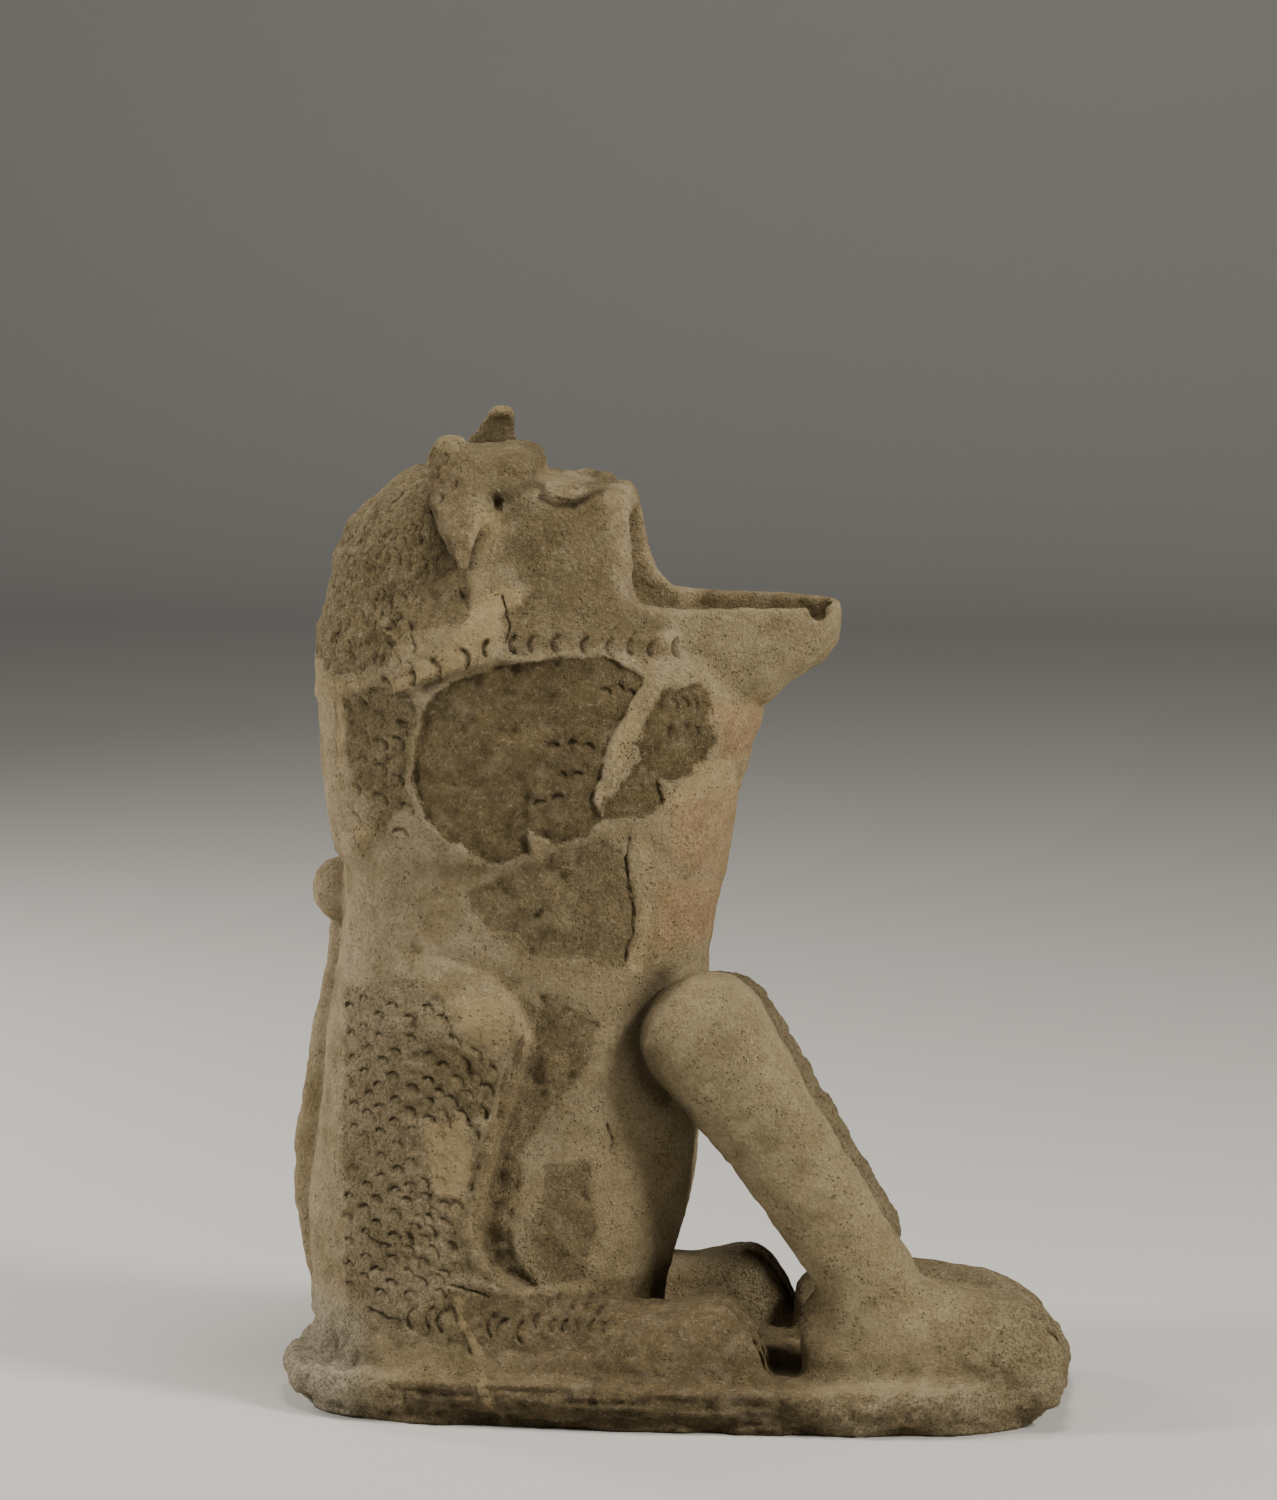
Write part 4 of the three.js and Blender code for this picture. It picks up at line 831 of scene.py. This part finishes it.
# Edges of the pieces are ragged by a few mm
ragged = calc(tree, "MULTIPLY", calc(tree, "SUBTRACT", small, 0.5), 14.0)


def inside(name, soft):
    return slope_down(tree, calc(tree, "ADD", kind_at(name), ragged), -soft, soft)


rough_grain = grain(4.2, 7, 0.72)
buff = blend(ease(tree, wide, 0.35, 0.65), "#aa9772", "#b9a785")
buff = blend(ease(tree, middle_grain, 0.4, 0.68), buff, "#9a8963")
fair_clay = blend(ease(tree, middle_grain, 0.35, 0.7), "#b1a079", "#9d8c67")
colour = blend(kind_at("fair"), buff, fair_clay)
olive_clay = blend(ease(tree, middle_grain, 0.35, 0.65), "#847450", "#776745")
colour = blend(calc(tree, "MULTIPLY", inside("olive", 9.0), 0.85), colour, olive_clay)
brown_clay = blend(ease(tree, middle_grain, 0.35, 0.65), "#99875f", "#8b7a56")
colour = blend(calc(tree, "MULTIPLY", inside("brown", 6.0), 0.85), colour, brown_clay)
# Earthier clay on the plinth's side and the hind feet; on the near ear the same colour is painted shade
earth_and_ear_shade_clay = blend(ease(tree, small, 0.4, 0.65), "#84724f", "#6c5d44")
colour = blend(kind_at("earth_and_ear_shade"), colour, earth_and_ear_shade_clay)
colour = blend(calc(tree, "MULTIPLY", kind_at("worn"), 0.85), colour, "#cbbfa3")
crust_clay = blend(ease(tree, middle_grain, 0.38, 0.62), "#746443", "#81704b")
colour = blend(inside("crust", 1.2), colour, crust_clay)
red_clay = blend(ease(tree, small, 0.4, 0.6), "#c4a073", "#b68f63")
colour = blend(calc(tree, "MULTIPLY", inside("red", 8.0), 0.58), colour, red_clay)
fill_clay = blend(ease(tree, middle_grain, 0.4, 0.7), "#ac986f", "#9e8a62")
colour = blend(calc(tree, "MULTIPLY", inside("fill", 3.0), 0.9), colour, fill_clay)
# Painted highlight on the thigh's front lip
colour = blend(calc(tree, "MULTIPLY", kind_at("lip"), 0.5), colour, "#bba57b")
# Salt bloom in loose clouds, and the grain lighter on its high spots and darker in its low spots
bloom = calc(tree, "MULTIPLY", ease(tree, grain(60, 6, 0.7), 0.54, 0.72), ease(tree, fine_grain, 0.3, 0.6))
colour = blend(calc(tree, "MULTIPLY", bloom, 0.4), colour, "#c4b48f")
not_fill = calc(tree, "SUBTRACT", 1.0, calc(tree, "MULTIPLY", inside("fill", 1.0), 0.75))
crests = calc(tree, "MULTIPLY", calc(tree, "MULTIPLY", ease(tree, rough_grain, 0.52, 0.68), 0.3), not_fill)
colour = blend(crests, colour, "#c2b18a")
hollows = calc(tree, "MULTIPLY", slope_down(tree, rough_grain, 0.34, 0.48), 0.42)
hollows = calc(tree, "MULTIPLY", hollows, kind_at("coarse"))
colour = blend(hollows, colour, "#50442f")
# Grains of the temper, darker and lighter than the clay between them
grain_share = calc(tree, "ADD", calc(tree, "MULTIPLY", kind_at("coarse"), 0.28), 0.18)
grains = calc(tree, "MULTIPLY", ease(tree, fine_grain, 0.42, 0.62), grain_share)
colour = blend(grains, colour, "#584b36")
specks = calc(tree, "MULTIPLY", ease(tree, grain(3.6, 2, 0.6), 0.6, 0.7), 0.25)
colour = blend(specks, colour, "#d0c4a6")
# Stains a finger wide, darker and lighter
stains = calc(tree, "MULTIPLY", slope_down(tree, grain(16, 6, 0.7), 0.36, 0.5), 0.22)
colour = blend(stains, colour, "#65573e")
colour = blend(calc(tree, "MULTIPLY", ease(tree, grain(21, 6, 0.7), 0.5, 0.68), 0.18), colour, "#cdbf9d")
# Painted shade, darkest in the deepest part of each reed mark's bite
reed_mark_shade = calc(tree, "MULTIPLY", calc(tree, "POWER", kind_at("pressed"), 2.5), 0.6)
colour = blend(reed_mark_shade, colour, "#46391f")
crack_dirt = calc(tree, "MULTIPLY", slope_down(tree, kind_at("crack"), 0.4, 1.4), 0.7)
colour = blend(crack_dirt, colour, "#3a2f1c")
# Painted shade: darkens the eye, the hollow under the brow, behind the ear and behind the shoulder
colour = blend(calc(tree, "MULTIPLY", kind_at("painted_shade"), 0.75), colour, "#352a18")
# Painted shade in every concave place, read from the mesh's pointiness
cavity_shade = slope_down(tree, node(tree, "ShaderNodeNewGeometry").outputs["Pointiness"], 0.43, 0.5)
colour = blend(calc(tree, "MULTIPLY", cavity_shade, 0.6), colour, "#4f4433")

pit_cells = node(tree, "ShaderNodeTexVoronoi", {"feature": "F1"}, {
    "Vector": place, "Scale": 1000 / 3.4, "Randomness": 1.0})
pits = slope_down(tree, pit_cells.outputs["Distance"], 0.12, 0.36)
pits = calc(tree, "MULTIPLY", pits, ease(tree, grain(12), 0.46, 0.6))
# Heights in mm: grain of several sizes, strokes on the wiped pieces, and holes of burnt-out chaff
coarse_here = calc(tree, "ADD", calc(tree, "MULTIPLY", kind_at("coarse"), 0.9), 0.6)
on_crust_here = calc(tree, "MULTIPLY", inside("crust", 1.2), 3.0)
strokes = calc(tree, "MULTIPLY", grain(4.5, 4, 0.6, (1, 1, 0.14)), on_crust_here)
finest = calc(tree, "MULTIPLY", grain(1.9, 4, 0.7), 2.2)
height = calc(tree, "ADD", calc(tree, "MULTIPLY", rough_grain, 5.5), finest)
height = calc(tree, "ADD", calc(tree, "MULTIPLY", height, coarse_here), strokes)
height = calc(tree, "SUBTRACT", height, calc(tree, "MULTIPLY", pits, 2.2))
bump = node(tree, "ShaderNodeBump", None, {"Strength": 1.0, "Distance": 0.001, "Height": height})
colour = blend(calc(tree, "MULTIPLY", pits, 0.6), colour, "#46391f")
shader = node(tree, "ShaderNodeBsdfPrincipled", None, {
    "Base Color": colour, "Roughness": 0.94, "IOR": 1.45, "Normal": bump.outputs[0]})
shader.inputs["Specular IOR Level"].default_value = 0.25
node(tree, "ShaderNodeOutputMaterial", None, {"Surface": shader.outputs[0]})

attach(lion, "root")
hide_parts("seated_lion")


# The studio: a pale floor that runs up into a pale wall in one sweep, painted matt.
# It is no part of the statue.
sweep = bpy.data.meshes.new("studio_floor")
bend_start, bend_radius, wall_top, half_floor = 5.2, 1.5, 6.0, 12.0
bend = [(bend_start + bend_radius * math.sin(a), bend_radius - bend_radius * math.cos(a))
        for a in np.linspace(0.1, math.pi / 2, 16)]
profile = [(-half_floor, 0.0), (bend_start, 0.0)] + bend + [(bend_start + bend_radius, wall_top)]
corners = [(side * half_floor, along, up) for along, up in profile for side in (-1, 1)]
sweep.from_pydata(corners, [], [(2 * i, 2 * i + 1, 2 * i + 3, 2 * i + 2) for i in range(len(profile) - 1)])
sweep.shade_smooth()
floor = bpy.data.objects.new("studio_floor", sweep)
bpy.context.collection.objects.link(floor)
matt = bpy.data.materials.new("matt_paint")
matt.use_nodes = True
matt.node_tree.nodes["Principled BSDF"].inputs["Base Color"].default_value = linear("#c4c2bd")
matt.node_tree.nodes["Principled BSDF"].inputs["Roughness"].default_value = 0.8
sweep.materials.append(matt)

# Soft lamps: the main one high on the right, one on the left, one behind on the left, one above
target = np.array([-0.03, 0.0, 0.42])
for name, at, size, power in (
        ("right_lamp", (2.6, -1.2, 2.1), 0.7, 124), ("left_lamp", (-2.9, -0.6, 1.7), 0.7, 80),
        ("rim_lamp", (-2.3, 1.6, 1.3), 0.7, 40), ("top_lamp", (0.1, -0.4, 3.0), 0.8, 40)):
    lamp = bpy.data.lights.new(name, "AREA")
    lamp.size, lamp.energy, lamp.color = size, power, (1.0, 0.965, 0.91)
    holder = bpy.data.objects.new(name, lamp)
    bpy.context.collection.objects.link(holder)
    holder.location = at
    aim = target - np.array(at)
    side_turn, tilt = math.atan2(aim[1], aim[0]), math.atan2(math.hypot(aim[0], aim[1]), -aim[2])
    holder.rotation_euler = (tilt, 0, side_turn - math.pi / 2)
world = bpy.data.worlds.new("studio_air")
world.use_nodes = True
world.node_tree.nodes["Background"].inputs["Color"].default_value = linear("#c9ccd0")
world.node_tree.nodes["Background"].inputs["Strength"].default_value = 0.12
bpy.context.scene.world = world

# The camera: 5 m away, 6.5 degrees round to the front and 8 degrees up, as the photograph was taken
turn, rise, distance = math.radians(6.5), math.radians(8), 5.0
lens = bpy.data.cameras.new("camera")
lens.sensor_fit, lens.sensor_width = "HORIZONTAL", 36
lens.lens = 36 * 6199.6 / 1277
camera = bpy.data.objects.new("camera", lens)
bpy.context.collection.objects.link(camera)
camera.location = (-0.034 + distance * math.sin(turn) * math.cos(rise),
                   -distance * math.cos(turn) * math.cos(rise), 0.526 + distance * math.sin(rise))
camera.rotation_euler = (math.pi / 2 - rise, 0, turn)
bpy.context.scene.camera = camera
